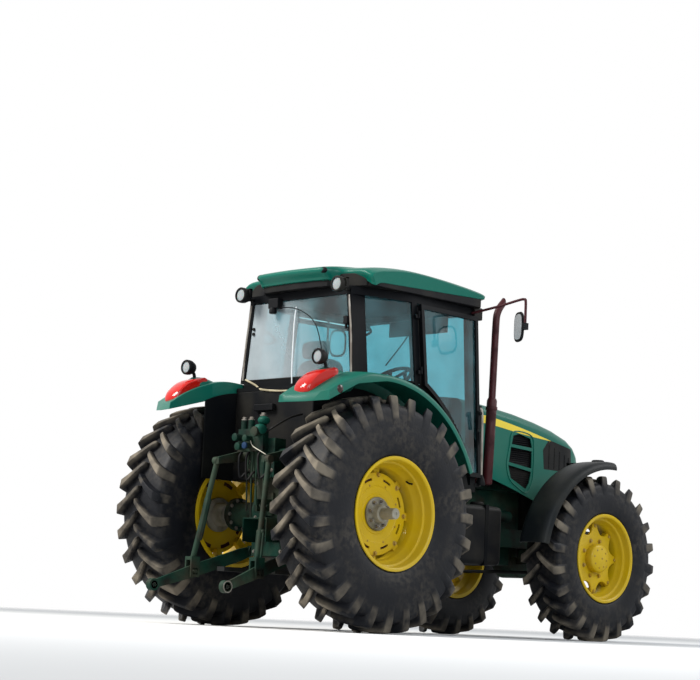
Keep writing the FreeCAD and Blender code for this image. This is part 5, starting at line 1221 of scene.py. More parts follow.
@dataclass
class FrontFenders:
    """Moulded fenders that turn with the front wheels, each on a folded steel bracket."""

    x: float = 2.690
    up: float = 0.572
    radius: float = 0.895
    foot: float = 0.7843
    bar: float = 1.4513

    def shell(self) -> Shape:
        """Return the arch: a crowned section with a deep rounded outer lip, carried round its arc."""
        out = np.array([(0.700, 0.030), (0.702, 0.010), (0.712, 0.003), (0.740, 0.001), (0.800, 0.0),
                        (0.860, 0.0), (0.905, 0.003), (0.932, 0.011), (0.949, 0.026), (0.958, 0.046),
                        (0.960, 0.070)])
        inside = np.array([(0.709, 0.030), (0.711, 0.017), (0.717, 0.013), (0.740, 0.012), (0.800, 0.012),
                           (0.860, 0.012), (0.900, 0.014), (0.923, 0.021), (0.938, 0.033), (0.947, 0.049),
                           (0.949, 0.070)])
        angle = np.radians(np.linspace(87.2, 167.8, 48))[:, None]
        grids = []
        for ring in (out, inside):
            radius = self.radius - ring[:, 1]
            grids.append(np.stack([self.x + radius * np.cos(angle), ring[:, 0] + 0 * angle,
                                   self.up + radius * np.sin(angle)], -1))
        return sheet(*grids)

    def build(self, frame: Frame) -> None:
        """Build each fender with its bracket, and a small lid on its crown."""
        for name, side in SIDES:
            node = "front_fender_" + name
            frame.piece("arch_" + node, self.shell().mirrored(side), FENDER_BLACK, node, True, crease=50.0)
            bracket = joined(block((2.550, 0.574, self.foot), (2.630, 0.598, self.bar)),
                             block((2.550, 0.574, self.foot), (2.630, 0.700, self.foot + 0.016)),
                             block((2.550, 0.574, self.bar - 0.024), (2.630, 0.900, self.bar)))
            frame.piece("bracket_" + node, bracket.mirrored(side), BLACK, node, bevel=0.003)
            boss = revolved([(0, -0.004), (0.052, -0.004), (0.052, 0.004), (0.044, 0.010), (0, 0.012)],
                            (2.640, 0.830, self.up + self.radius - 0.001), Axis.Z, 28)
            frame.piece("lid_" + node, boss.mirrored(side), FENDER_BLACK, node)


@dataclass
class Roof:
    """The cab's roof: a green moulded shell over a black gutter, with a dark corner at each lamp.

    Each of the shell's sections holds its place across and then (station, height) points from the
    rear edge to the front.
    """

    rows: tuple[tuple, ...] = (
        (0.715, (0.060, 2.562), (0.052, 2.655), (0.400, 2.712),
         (0.800, 2.704), (1.240, 2.664), (1.288, 2.634)),
        (0.690, (0.046, 2.568), (0.038, 2.664), (0.385, 2.724),
         (0.820, 2.716), (1.272, 2.676), (1.314, 2.638)),
        (0.620, (0.040, 2.604), (0.028, 2.690), (0.370, 2.740),
         (0.860, 2.733), (1.325, 2.692), (1.343, 2.645)),
        (0.480, (0.036, 2.611), (0.022, 2.700), (0.365, 2.750),
         (0.860, 2.744), (1.340, 2.700), (1.356, 2.648)),
        (0.415, (0.000, 2.611), (-0.016, 2.703), (0.355, 2.752),
         (0.860, 2.746), (1.341, 2.702), (1.358, 2.649)),
        (0.365, (-0.104, 2.611), (-0.120, 2.705), (0.350, 2.753),
         (0.860, 2.747), (1.342, 2.703), (1.359, 2.649)),
        (0.240, (-0.122, 2.612), (-0.138, 2.708), (0.350, 2.754),
         (0.860, 2.749), (1.344, 2.705), (1.361, 2.650)),
    )

    def top(self, count: int = 61, around: int = 46) -> np.ndarray:
        """Return the green skin as rows across by samples from rear to front by three."""
        half = np.array([[(x, row[0], z) for x, z in row[1:]] for row in self.rows])
        rear = half[-1] * [1, 0, 1] + [-0.010, 0.0, 0.001]
        rows = np.concatenate([half, rear[None], half[::-1] * [1, -1, 1]])
        smooth = spline(rows, count)
        smooth[:, :, 1] = np.clip(smooth[:, :, 1], -0.715, 0.715)
        return spline(smooth.transpose(1, 0, 2), around).transpose(1, 0, 2)

    def build(self, frame: Frame) -> None:
        """Build the shell, the gutter, the lamp corners and the rear slots."""
        top = self.top()
        share = np.linspace(0, 1, top.shape[1])[None, :]
        x = (top[:, :1, 0] + 0.012) * (1 - share) + (top[:, -1:, 0] - 0.012) * share
        edge = np.interp(x, [-0.14, 0.03, 0.11, 1.29], [2.612, 2.60, 2.592, 2.630])
        corner = np.clip((np.abs(top[:, :1, 1]) - 0.68) / 0.03, 0, 1) * np.clip((0.13 - x) / 0.06, 0, 1)
        under = np.stack([x, 0.988 * top[..., 1], edge * (1 - corner) + 2.566 * corner], -1)
        frame.piece("moulded_roof", sheet(top, under), GREEN, "roof", True, bevel=0.008, segments=3,
                    crease=48.0)
        y = np.linspace(-0.703, 0.703, 41)[:, None]
        rear = np.interp(np.abs(y), [0, 0.24, 0.36, 0.40, 0.62, 0.69, 0.703],
                         [-0.118, -0.108, -0.094, -0.020, 0.040, 0.075, 0.110])
        front = np.interp(np.abs(y), [0, 0.48, 0.62, 0.703], [1.345, 1.335, 1.315, 1.262])
        place = np.linspace(0, 1, 9)[None, :]
        grid = rear * (1 - place) + front * place
        faces = [np.stack([grid, y + 0 * grid, z + 0 * grid], -1) for z in (2.655, 2.5615)]
        frame.piece("roof_gutter", sheet(*faces), MOULDED, "roof", bevel=0.006, slot=Slot.PLASTIC)
        y = np.linspace(0.405, 0.640, 9)[:, None]
        z = np.array([2.562, 2.60, 2.64, 2.662])[None, :]
        back = np.interp(y, [0.40, 0.62, 0.69], [-0.030, 0.030, 0.060])
        skin = np.stack([back + 0 * z, y + 0 * z, z + 0 * y], -1)
        frame.piece("roof_lamp_corners", both_sides(sheet(skin, skin + [0.05, 0.0, 0.0])), MOULDED, "roof",
                    bevel=0.006, slot=Slot.PLASTIC)
        slot = pillow((-0.132, 0.335, 2.678), (0.024, 0.046, 0.026), lean=0.3, power=0.7, steps=(10, 16))
        frame.piece("roof_slots", both_sides(slot), MOULDED, "roof", slot=Slot.PLASTIC)
        y = np.linspace(-0.49, 0.49, 5)[:, None]
        x = np.linspace(0.06, 1.15, 7)[None, :]
        lining = [np.stack([x + 0 * y, y + 0 * x, z + 0 * (x + y)], -1) for z in (2.5605, 2.548)]
        frame.piece("roof_lining", sheet(*lining), LINING, "roof", bevel=0.005, slot=Slot.PLASTIC)


@dataclass
class Hood:
    """Trim on the hood: a tapering stripe, vent meshes, lamp bars, a nose grille and a latch."""

    stations: tuple[float, ...] = (1.430, 1.800, 2.120, 2.400, 2.640, 2.850, 2.940)
    halves: tuple[float, ...] = (0.392, 0.396, 0.391, 0.380, 0.368, 0.350, 0.336)
    stripe_stations: tuple[float, ...] = (1.475, 1.89, 2.17, 2.40, 2.588)
    stripe_tops: tuple[float, ...] = (1.792, 1.752, 1.713, 1.677, 1.643)
    stripe_feet: tuple[float, ...] = (1.722, 1.694, 1.665, 1.650, 1.641)
    vent_rear: float = 1.995
    vent_front: float = 2.350
    vent_levels: tuple[tuple[float, float], ...] = ((1.552, 1.660), (1.386, 1.552), (1.205, 1.386))
    rib_count: int = 26
    rib_height: float = 0.0045
    surround_radius: float = 0.0055
    bar_stations: tuple[float, ...] = (2.565, 2.640, 2.715, 2.790, 2.850)
    bar_width: float = 0.012

    def side(self, x: np.ndarray) -> np.ndarray:
        """Return the half width of the hood at a station."""
        return np.interp(x, self.stations, self.halves)

    def stripe(self) -> Shape:
        """Return the stripe, a skin on the hood's side between an upper and a lower line.

        Returns:
            The left stripe.
        """
        x = np.linspace(self.stripe_stations[0], self.stripe_stations[-1], 34)[:, None]
        high = np.interp(x, self.stripe_stations, self.stripe_tops)
        low = np.interp(x, self.stripe_stations, self.stripe_feet)
        z = high + (low - high) * np.linspace(0, 1, 3)[None, :]
        skin = np.stack([x + 0 * z, self.side(x) + 0.0009 + 0 * z, z], -1)
        return sheet(skin, skin - [0.0, 0.002, 0.0])

    def meshes(self) -> Shape:
        """Return the backing of the three left vents, and the ribs across them.

        Returns:
            Backings and ribs.
        """
        backs = [block((self.vent_rear, 0.352, low), (self.vent_front, 0.358, high))
                 for low, high in self.vent_levels]
        ribs = [block((self.vent_rear + 0.005, 0.356, z),
                      (self.vent_front - 0.005, 0.366, z + self.rib_height))
                for z in np.linspace(1.222, 1.650, self.rib_count)]
        return joined(*backs, *ribs)

    def surround(self) -> Shape:
        """Return the raised bead round the left vents, a closed loop held on the hood's side.

        Returns:
            The bead.
        """
        loop = spline([(2.052, 1.655), (2.150, 1.682), (2.318, 1.657), (2.352, 1.56), (2.352, 1.36),
                       (2.330, 1.258), (2.262, 1.186), (2.150, 1.220), (2.040, 1.285), (2.000, 1.40),
                       (2.028, 1.55)], 60, closed=True)
        bead = np.column_stack([loop[:, 0], self.side(loop[:, 0]) + 0.0015, loop[:, 1]])
        return tube(np.concatenate([bead, bead[:1]]), self.surround_radius, 8)

    def bars(self) -> Shape:
        """Return the upright bars of the left headlamp's side window.

        Returns:
            The bars, shorter toward the nose.
        """
        out = self.side(np.array(self.bar_stations))
        return joined(*[block((x, y - 0.004, 1.412),
                              (x + self.bar_width, y + 0.0025, 1.612 - 0.3 * (x - 2.56)))
                        for x, y in zip(self.bar_stations, out)])

    def build(self, frame: Frame) -> None:
        """Soften the shell and add its trim."""
        frame.softened("hood", GREEN, 0.004, 2, 40.0)
        frame.piece("hood_stripe", both_sides(self.stripe()), STRIPE, "hood", slot=Slot.YELLOW)
        frame.piece("vent_meshes", both_sides(self.meshes()), MOULDED, "hood", slot=Slot.PLASTIC)
        frame.piece("vent_surround", both_sides(self.surround()), GREEN, "hood")
        frame.softened("headlamps", HEADLAMP, 0.004)
        frame.piece("headlamp_bars", both_sides(self.bars()), MOULDED, "headlamps")
        frame.softened("grille", BLACK, 0.001, 1)
        frame.softened("hood_cowl", BLACK, 0.004)
        latch = block((2.996, -0.045, 1.502), (3.014, 0.045, 1.514))
        frame.piece("hood_latch", latch, MOULDED, "hood", bevel=0.003, slot=Slot.PLASTIC)


@dataclass
class Cab:
    """The cab: rounded pillars, door frames with seals, glass, rails, wipers and the rear sill."""

    door_rear: float = 0.572
    door_front: float = 1.245
    door_top: float = 2.474
    arc: float = 1.209
    arc_up: float = 0.807
    seal_radius: float = 0.0125
    rail_radius: float = 0.0125
    pane: float = -0.0312
    pane_low: float = 1.897
    pane_high: float = 2.492
    film_depth: float = 0.0006

    def seal(self) -> Shape:
        """Return the left door's rubber seal.

        Its path goes down the hinge side, along the fender's arc and up the latch side. Its place
        across is the door's plane, which leans in by one slope at the hinges and another at the latch.

        Returns:
            The seal.
        """
        rear, front, top = self.door_rear, self.door_front, self.door_top
        x = np.linspace(0.575, 1.130, 16)
        curve = np.column_stack([x, self.arc_up + np.sqrt(self.arc ** 2 - x ** 2)])
        path = np.concatenate([[(rear, top), (rear, 2.20), (rear, 1.915)], curve,
                               [(front, 1.245), (front, 1.85), (front, top), (0.900, 2.478), (rear, top)]])
        hinge_side = 0.740 - 0.070 * (path[:, 1] - 1.890) / 0.610
        latch_side = 0.720 - 0.090 * (path[:, 1] - 1.160) / 1.340
        y = hinge_side + (latch_side - hinge_side) * (path[:, 0] - 0.566) / 0.704 - 0.0120
        return tube(np.insert(path, 1, y, axis=1), self.seal_radius, 8)

    def handle(self) -> Shape:
        """Return the left door's handle with its push button.

        Returns:
            Plate and button.
        """
        button = revolved([(0, 0), (0.016, 0), (0.016, 0.012), (0.012, 0.016), (0, 0.016)],
                          (1.220, 0.766, 1.72), Axis.Y, 20)
        return joined(block((1.205, 0.746, 1.60), (1.235, 0.768, 1.74)), button)

    def rail_ends(self) -> Shape:
        """Return the left grab rail's rubber foot and its two lugs.

        Returns:
            The three as one.
        """
        foot = revolved([(0, 0), (0.034, 0), (0.036, 0.02), (0.028, 0.055), (0.014, 0.085), (0, 0.085)],
                        (1.305, 0.724, 1.165), Axis.Z, 20)
        return joined(foot, block((1.236, 0.690, 1.750), (1.306, 0.712, 1.790)),
                      block((1.236, 0.690, 1.150), (1.306, 0.724, 1.180)))

    def film(self) -> Shape:
        """Return the skin of painted light on the rear pane, a very thin plate that narrows upward.

        Returns:
            The skin.
        """
        y = np.linspace(-1.0, 1.0, 9)[:, None]
        z = np.linspace(self.pane_low, self.pane_high, 9)[None, :]
        half = np.interp(z, [1.89, 2.50], [0.575, 0.508])
        skin = np.stack([self.pane + 0 * (y * z), y * half, z + 0 * y], -1)
        return sheet(skin, skin + [self.film_depth, 0.0, 0.0])

    def fittings(self) -> Shape:
        """Return the rear pane's two hinge knobs and its catch.

        Returns:
            The fittings.
        """
        knob = [(0, 0.004), (0.013, 0.004), (0.013, -0.012), (0.009, -0.016), (0, -0.016)]
        knobs = [revolved(knob, (-0.030, 0.505, z), Axis.X, 16) for z in (2.300, 2.262)]
        return joined(*knobs, block((-0.062, -0.545, 2.270), (-0.028, -0.505, 2.330)),
                      block((-0.054, -0.530, 2.235), (-0.036, -0.515, 2.275)))

    def doors(self, frame: Frame) -> None:
        """Soften both doors and add their handles, seals and grab rails."""
        rail = bent([(1.292, 0.700, 1.772), (1.300, 0.716, 1.740), (1.302, 0.722, 1.60), (1.304, 0.724, 1.38),
                     (1.306, 0.724, 1.20), (1.300, 0.712, 1.165)], self.rail_radius)
        for name, side in SIDES:
            node = f"door_{name}_frame"
            frame.softened(node, BLACK, 0.006, 3)
            frame.softened(f"door_{name}_glass", GLASS, 0.0)
            frame.piece("door_lever_" + name, self.handle().mirrored(side), MOULDED, node, bevel=0.004)
            frame.piece("grab_rail_" + name, rail.mirrored(side), BARE, "cab_frame", slot=Slot.STEEL)
            frame.piece("rail_ends_" + name, self.rail_ends().mirrored(side), BLACK, "cab_frame",
                        bevel=0.003)
            frame.piece("door_seal_" + name, self.seal().mirrored(side), MOULDED, "cab_frame",
                        slot=Slot.PLASTIC)

    def rear_window(self, frame: Frame) -> None:
        """Add the rear pane's seal, sill, veil of painted light, socket box, wiper, hose, motor and fittings.
        """
        seal = bent([(-0.036, 0.565, 1.905), (-0.036, 0.540, 1.896), (-0.036, 0.0, 1.896)], 0.007, 12, 8)
        frame.piece("rear_glass_seal", both_sides(seal), MOULDED, "cab_frame", slot=Slot.PLASTIC)
        sill = bent([(-0.046, 0.560, 1.905), (-0.052, 0.440, 1.858), (-0.112, 0.300, 1.810),
                     (-0.116, 0.110, 1.790), (-0.116, 0.0, 1.786)], 0.008, 24, 8)
        frame.piece("rear_sill_ledge", both_sides(sill), DUSTY_STEEL, "cab_frame", slot=Slot.STEEL)
        # The pale veil on the rear pane is painted light, for the glass's sunlit look.
        frame.piece("rear_painted_light_veil", self.film(), REAR_GLASS, "cab_glass", slot=Slot.GLASS)
        box = block((-0.150, 0.130, 1.640), (-0.1095, 0.340, 1.692))
        frame.piece("rear_socket_box", box, MOULDED, "cab_floor", bevel=0.006)
        wiper = bent([(-0.049, 0.022, 2.440), (-0.061, 0.023, 2.30), (-0.061, 0.026, 1.98),
                      (-0.052, 0.028, 1.85)], 0.0046, 16, 8)
        frame.piece("rear_wiper", wiper, PALE_ARM, "cab_frame")
        hose = bent([(-0.060, 0.245, 2.452), (-0.062, 0.000, 2.42), (-0.060, -0.200, 2.30),
                     (-0.054, -0.300, 2.05)], 0.004, 24, 6)
        frame.piece("washer_hose", hose, MOULDED, "cab_frame", slot=Slot.PLASTIC)
        motor = joined(block((-0.090, 0.190, 2.440), (-0.030, 0.300, 2.520)),
                       revolved([(0, 0), (0.030, 0), (0.030, 0.03), (0.022, 0.05), (0, 0.05)],
                                (-0.075, 0.255, 2.400), Axis.Z, 20))
        frame.piece("wiper_motor", motor, MOULDED, "cab_frame", bevel=0.008, slot=Slot.PLASTIC)
        frame.piece("rear_glass_fittings", self.fittings(), MOULDED, "cab_glass", bevel=0.003,
                    slot=Slot.PLASTIC)

    def build(self, frame: Frame) -> None:
        """Soften frame and doors, and add seals, rails and trim."""
        frame.softened("cab_frame", BLACK, 0.007, 3)
        frame.softened("cab_floor", MOULDED, 0.008)
        self.doors(frame)
        self.rear_window(frame)
        strips = bent([(-0.043, 0.596, 1.90), (-0.043, 0.577, 2.19), (-0.043, 0.536, 2.49)], 0.008, 20, 8)
        frame.piece("pillar_strips", both_sides(strips), BARE, "cab_frame", slot=Slot.STEEL)
        grab = bent([(0.120, 0.545, 2.300), (0.150, 0.530, 2.296), (0.215, 0.528, 2.250),
                     (0.160, 0.532, 2.212), (0.120, 0.548, 2.210)], 0.010, 28)
        frame.piece("pillar_grabs", both_sides(grab), MOULDED, "cab_frame", slot=Slot.PLASTIC)
        hung = block((1.246, 0.588, 2.474), (1.345, 0.652, 2.572))
        frame.piece("front_corner_boxes", both_sides(hung), MOULDED, "cab_frame", bevel=0.008,
                    slot=Slot.PLASTIC)


@dataclass
class Interior:
    """What shows through the glass: seat, wheel, console, levers, visor and wiper.

    Each lever is given by its foot's place and by its knob's distance forward, left and up.
    """

    cushion: Point = (0.425, 0.0, 1.490)
    cushion_half: Point = (0.237, 0.238, 0.068)
    back: Point = (0.196, 0.0, 1.800)
    back_half: Point = (0.064, 0.228, 0.262)
    rest: Point = (0.158, 0.0, 2.130)
    rest_half: Point = (0.036, 0.129, 0.069)
    lean: float = -0.02
    fill: float = 0.6
    knob: Point = (0.017, 0.017, 0.026)
    levers: tuple[tuple[float, ...], ...] = (
        (0.62, -0.42, 1.50, 0.05, 0.0, 0.22), (0.52, -0.42, 1.50, 0.06, 0.0, 0.18),
        (0.42, -0.40, 1.50, 0.03, 0.02, 0.16), (0.98, -0.12, 1.70, -0.10, -0.15, 0.31),
        (0.70, -0.38, 1.50, 0.043, 0.14, 0.50), (1.05, -0.10, 1.80, -0.09, -0.10, 0.18),
        (1.05, 0.10, 1.80, -0.10, 0.14, 0.24))

    def cushions(self) -> Shape:
        """Return the seat's padded forms.

        Returns:
            Cushion, back and head rest.
        """
        return joined(pillow(self.cushion, self.cushion_half, lean=self.lean),
                      pillow(self.back, self.back_half, lean=0.10, power=0.40),
                      pillow(self.rest, self.rest_half, lean=self.lean))

    def piping(self) -> Shape:
        """Return the seams: squared loops round the cushion's edge and panel, and two on the back.

        Returns:
            The loops as thin tubes.
        """
        turn = np.linspace(0, FULL_TURN, 60, endpoint=False)
        long, wide = squared(np.cos(turn), 0.42), squared(np.sin(turn), 0.42)
        loops = [(np.stack([self.cushion[0] + a * long, b * wide,
                            self.cushion[2] + up - self.lean * a * long], -1), 0.0035)
                 for a, b, up in ((0.222, 0.223, 0.030), (0.150, 0.155, 0.0645))]
        loops += [(np.stack([0.250 + 0.02 * wide * share - 0.004 * share, 0.21 * long * share,
                             self.back[2] + 0.245 * wide * share], -1), 0.003) for share in (0.55, 0.86)]
        return joined(*[tube(np.concatenate([path, path[:1]]), radius, 6) for path, radius in loops])

    def controls(self) -> Shape:
        """Return the levers: slightly bowed rods with oval knobs.

        Returns:
            All the levers.
        """
        parts = []
        for lever in self.levers:
            foot = np.array(lever[:3])
            tip = foot + lever[3:]
            parts.append(tube(np.stack([foot, 0.5 * (foot + tip) + [0.01, 0, 0], tip]), 0.007, 8))
            parts.append(pillow(tuple(tip), self.knob, power=0.9, steps=(10, 14)))
        return joined(*parts)

    def build(self, frame: Frame) -> None:
        """Build the padded seat and dress the controls."""
        seat = frame.piece("seat_cushions", self.cushions(), CLOTH, "seat", True, crease=80.0)
        frame.piece("seat_piping", self.piping(), MOULDED, "seat")
        frame.softened("steering_wheel", MOULDED, 0.003)
        frame.softened("dash", MOULDED, 0.015, 3)
        cowl = prism([(1.035, 1.845), (1.060, 1.900), (1.150, 1.925), (1.222, 1.900), (1.222, 1.845)],
                     -0.20, 0.20)
        frame.piece("dash_hood", cowl, MOULDED, "dash", bevel=0.015, segments=3)
        frame.piece("levers", self.controls(), MOULDED, "cab_floor")
        console = prism([(0.10, 1.160), (0.78, 1.160), (0.80, 1.440), (0.70, 1.515), (0.20, 1.545),
                         (0.10, 1.500)], -0.545, -0.350)
        frame.piece("side_console", console, MOULDED, "cab_floor", bevel=0.02, segments=3)
        board = block((1.105, -0.490, 2.360), (1.122, 0.140, 2.484))
        frame.piece("sun_visor", board, MOULDED, "cab_frame", bevel=0.006, slot=Slot.PLASTIC)
        wiper = bent([(1.248, 0.0, 2.46), (1.252, 0.12, 2.33), (1.252, 0.30, 2.16)], 0.006, 12, 8)
        frame.piece("front_wiper", wiper, MOULDED, "cab_frame", slot=Slot.PLASTIC)


@dataclass
class Lamps:
    """Round work lamps with bowls, clear lenses and brackets, and the two door mirrors."""

    fender_lamp: Point = (-0.522, 0.723, 1.958)
    fender_length: float = 0.088
    fender_radius: float = 0.058
    roof_lamp: Point = (-0.172, 0.530, 2.556)
    roof_length: float = 0.100
    roof_radius: float = 0.061
    stalk_radius: float = 0.013
    mirror: Point = (1.345, 1.090, 2.405)
    mirror_turn: float = math.radians(24.0)
    mirror_arm: float = 0.0105
    glass_share: float = 0.93

    def lamp(self, place: Point, long: float, radius: float) -> tuple[Shape, Shape]:
        """Return a lamp's bowl and its lens, which looks rearward.

        Args:
            place: Middle of the lens.
            long: Length of the bowl.
            radius: Radius of the rim.

        Returns:
            The bowl and the lens.
        """
        rim = 0.76 * radius
        bowl = [(0, long), (0.35 * radius, long), (0.70 * radius, 0.8 * long), (0.96 * radius, 0.45 * long),
                (radius, 0.22 * long), (radius, 0.0), (0.94 * radius, -0.006), (rim, -0.006), (rim, 0.006),
                (0, 0.007)]
        edge = 0.755 * radius
        lens = [(0, -0.002), (0.45 * radius, -0.0012), (edge, 0.003), (edge, 0.0058), (0, 0.0065)]
        return revolved(bowl, place, Axis.X, 40), revolved(lens, place, Axis.X, 40)

    def holder(self) -> Shape:
        """Return the roof lamp's arm and the three plates of its yoke.

        Returns:
            Arm and yoke.
        """
        x, y, z = self.roof_lamp
        return joined(tube([(-0.110, y, 2.530), (-0.070, y, 2.530), (-0.0405, y, 2.530)], 0.012),
                      block((-0.135, y - 0.068, 2.535), (-0.110, y - 0.058, 2.605)),
                      block((-0.135, y + 0.058, 2.535), (-0.110, y + 0.068, 2.605)),
                      block((-0.135, y - 0.068, 2.597), (-0.110, y + 0.068, 2.607)))

    def head(self) -> np.ndarray:
        """Return the mirror head's rings, squared ovals turned toward the driver.

        Returns:
            Points as rings by corners by three, from the glass to the back, about the mirror's place.
        """
        ring = np.linspace(0, FULL_TURN, 36, endpoint=False)
        wide, tall = squared(np.cos(ring), 0.62), squared(np.sin(ring), 0.62)
        depth, share = np.array([(-0.014, 0.90), (-0.012, 0.98), (-0.004, 1.0), (0.005, 0.95),
                                 (0.011, 0.80), (0.014, 0.5)]).T[..., None]
        x, y, z = depth + 0 * wide, -0.098 + 0.076 * share * wide, 0.119 * share * tall
        cos, sin = math.cos(self.mirror_turn), math.sin(self.mirror_turn)
        return np.stack([x * cos - y * sin, x * sin + y * cos, z], -1)

    def mirrors(self, frame: Frame) -> None:
        """Build the mirrors' arms, heads and faces."""
        arm = bent([(1.235, 0.634, 2.520), (1.290, 0.860, 2.565), (1.330, 1.030, 2.606),
                    (1.345, 1.072, 2.612),
                    (1.345, 1.088, 2.596), (1.345, 1.090, 2.50), (1.345, 1.090, 2.372)], self.mirror_arm, 60)
        head = self.head()
        clamp = joined(block((1.328, 1.072, 2.372), (1.364, 1.108, 2.424)),
                       tube([(1.350, 1.080, 2.400), (1.378, 1.020, 2.400)], 0.012, 8))
        frame.piece("mirror_arms", both_sides(arm), DARK_RED, "mirrors", True)
        frame.piece("mirror_heads", both_sides(joined(skinned(head + self.mirror), clamp)), MOULDED,
                    "mirrors", slot=Slot.PLASTIC)
        middle = head[0].mean(0)
        inner = middle + (head[0] - middle) * self.glass_share
        back = -np.array([math.cos(self.mirror_turn), math.sin(self.mirror_turn), 0.0])
        plate = np.stack([inner + 0.0012 * back, inner - 0.003 * back])
        frame.piece("mirror_faces", both_sides(skinned(plate + self.mirror)), MIRROR, "mirrors")

    def build(self, frame: Frame) -> None:
        """Build the four lamps, their brackets, and the mirrors with their arms."""
        low_bowl, low_lens = self.lamp(self.fender_lamp, self.fender_length, self.fender_radius)
        high_bowl, high_lens = self.lamp(self.roof_lamp, self.roof_length, self.roof_radius)
        y = self.fender_lamp[1]
        stalk = bent([(-0.455, y, 1.930), (-0.438, y, 1.912), (-0.432, y, 1.890), (-0.430, y, 1.868)],
                     self.stalk_radius, 20)
        frame.piece("work_lamp_bowls", both_sides(joined(low_bowl, high_bowl, stalk, self.holder())), MOULDED,
                    "work_lamps", True)
        frame.piece("work_lamp_lenses", both_sides(joined(low_lens, high_lens)), CLEAR_LENS, "work_lamps")
        plug = pillow((-0.430, y, 1.878), (0.026, 0.026, 0.012), power=0.6, steps=(8, 16))
        frame.piece("lamp_brackets", both_sides(plug), BLACK, "work_lamps")
        self.mirrors(frame)


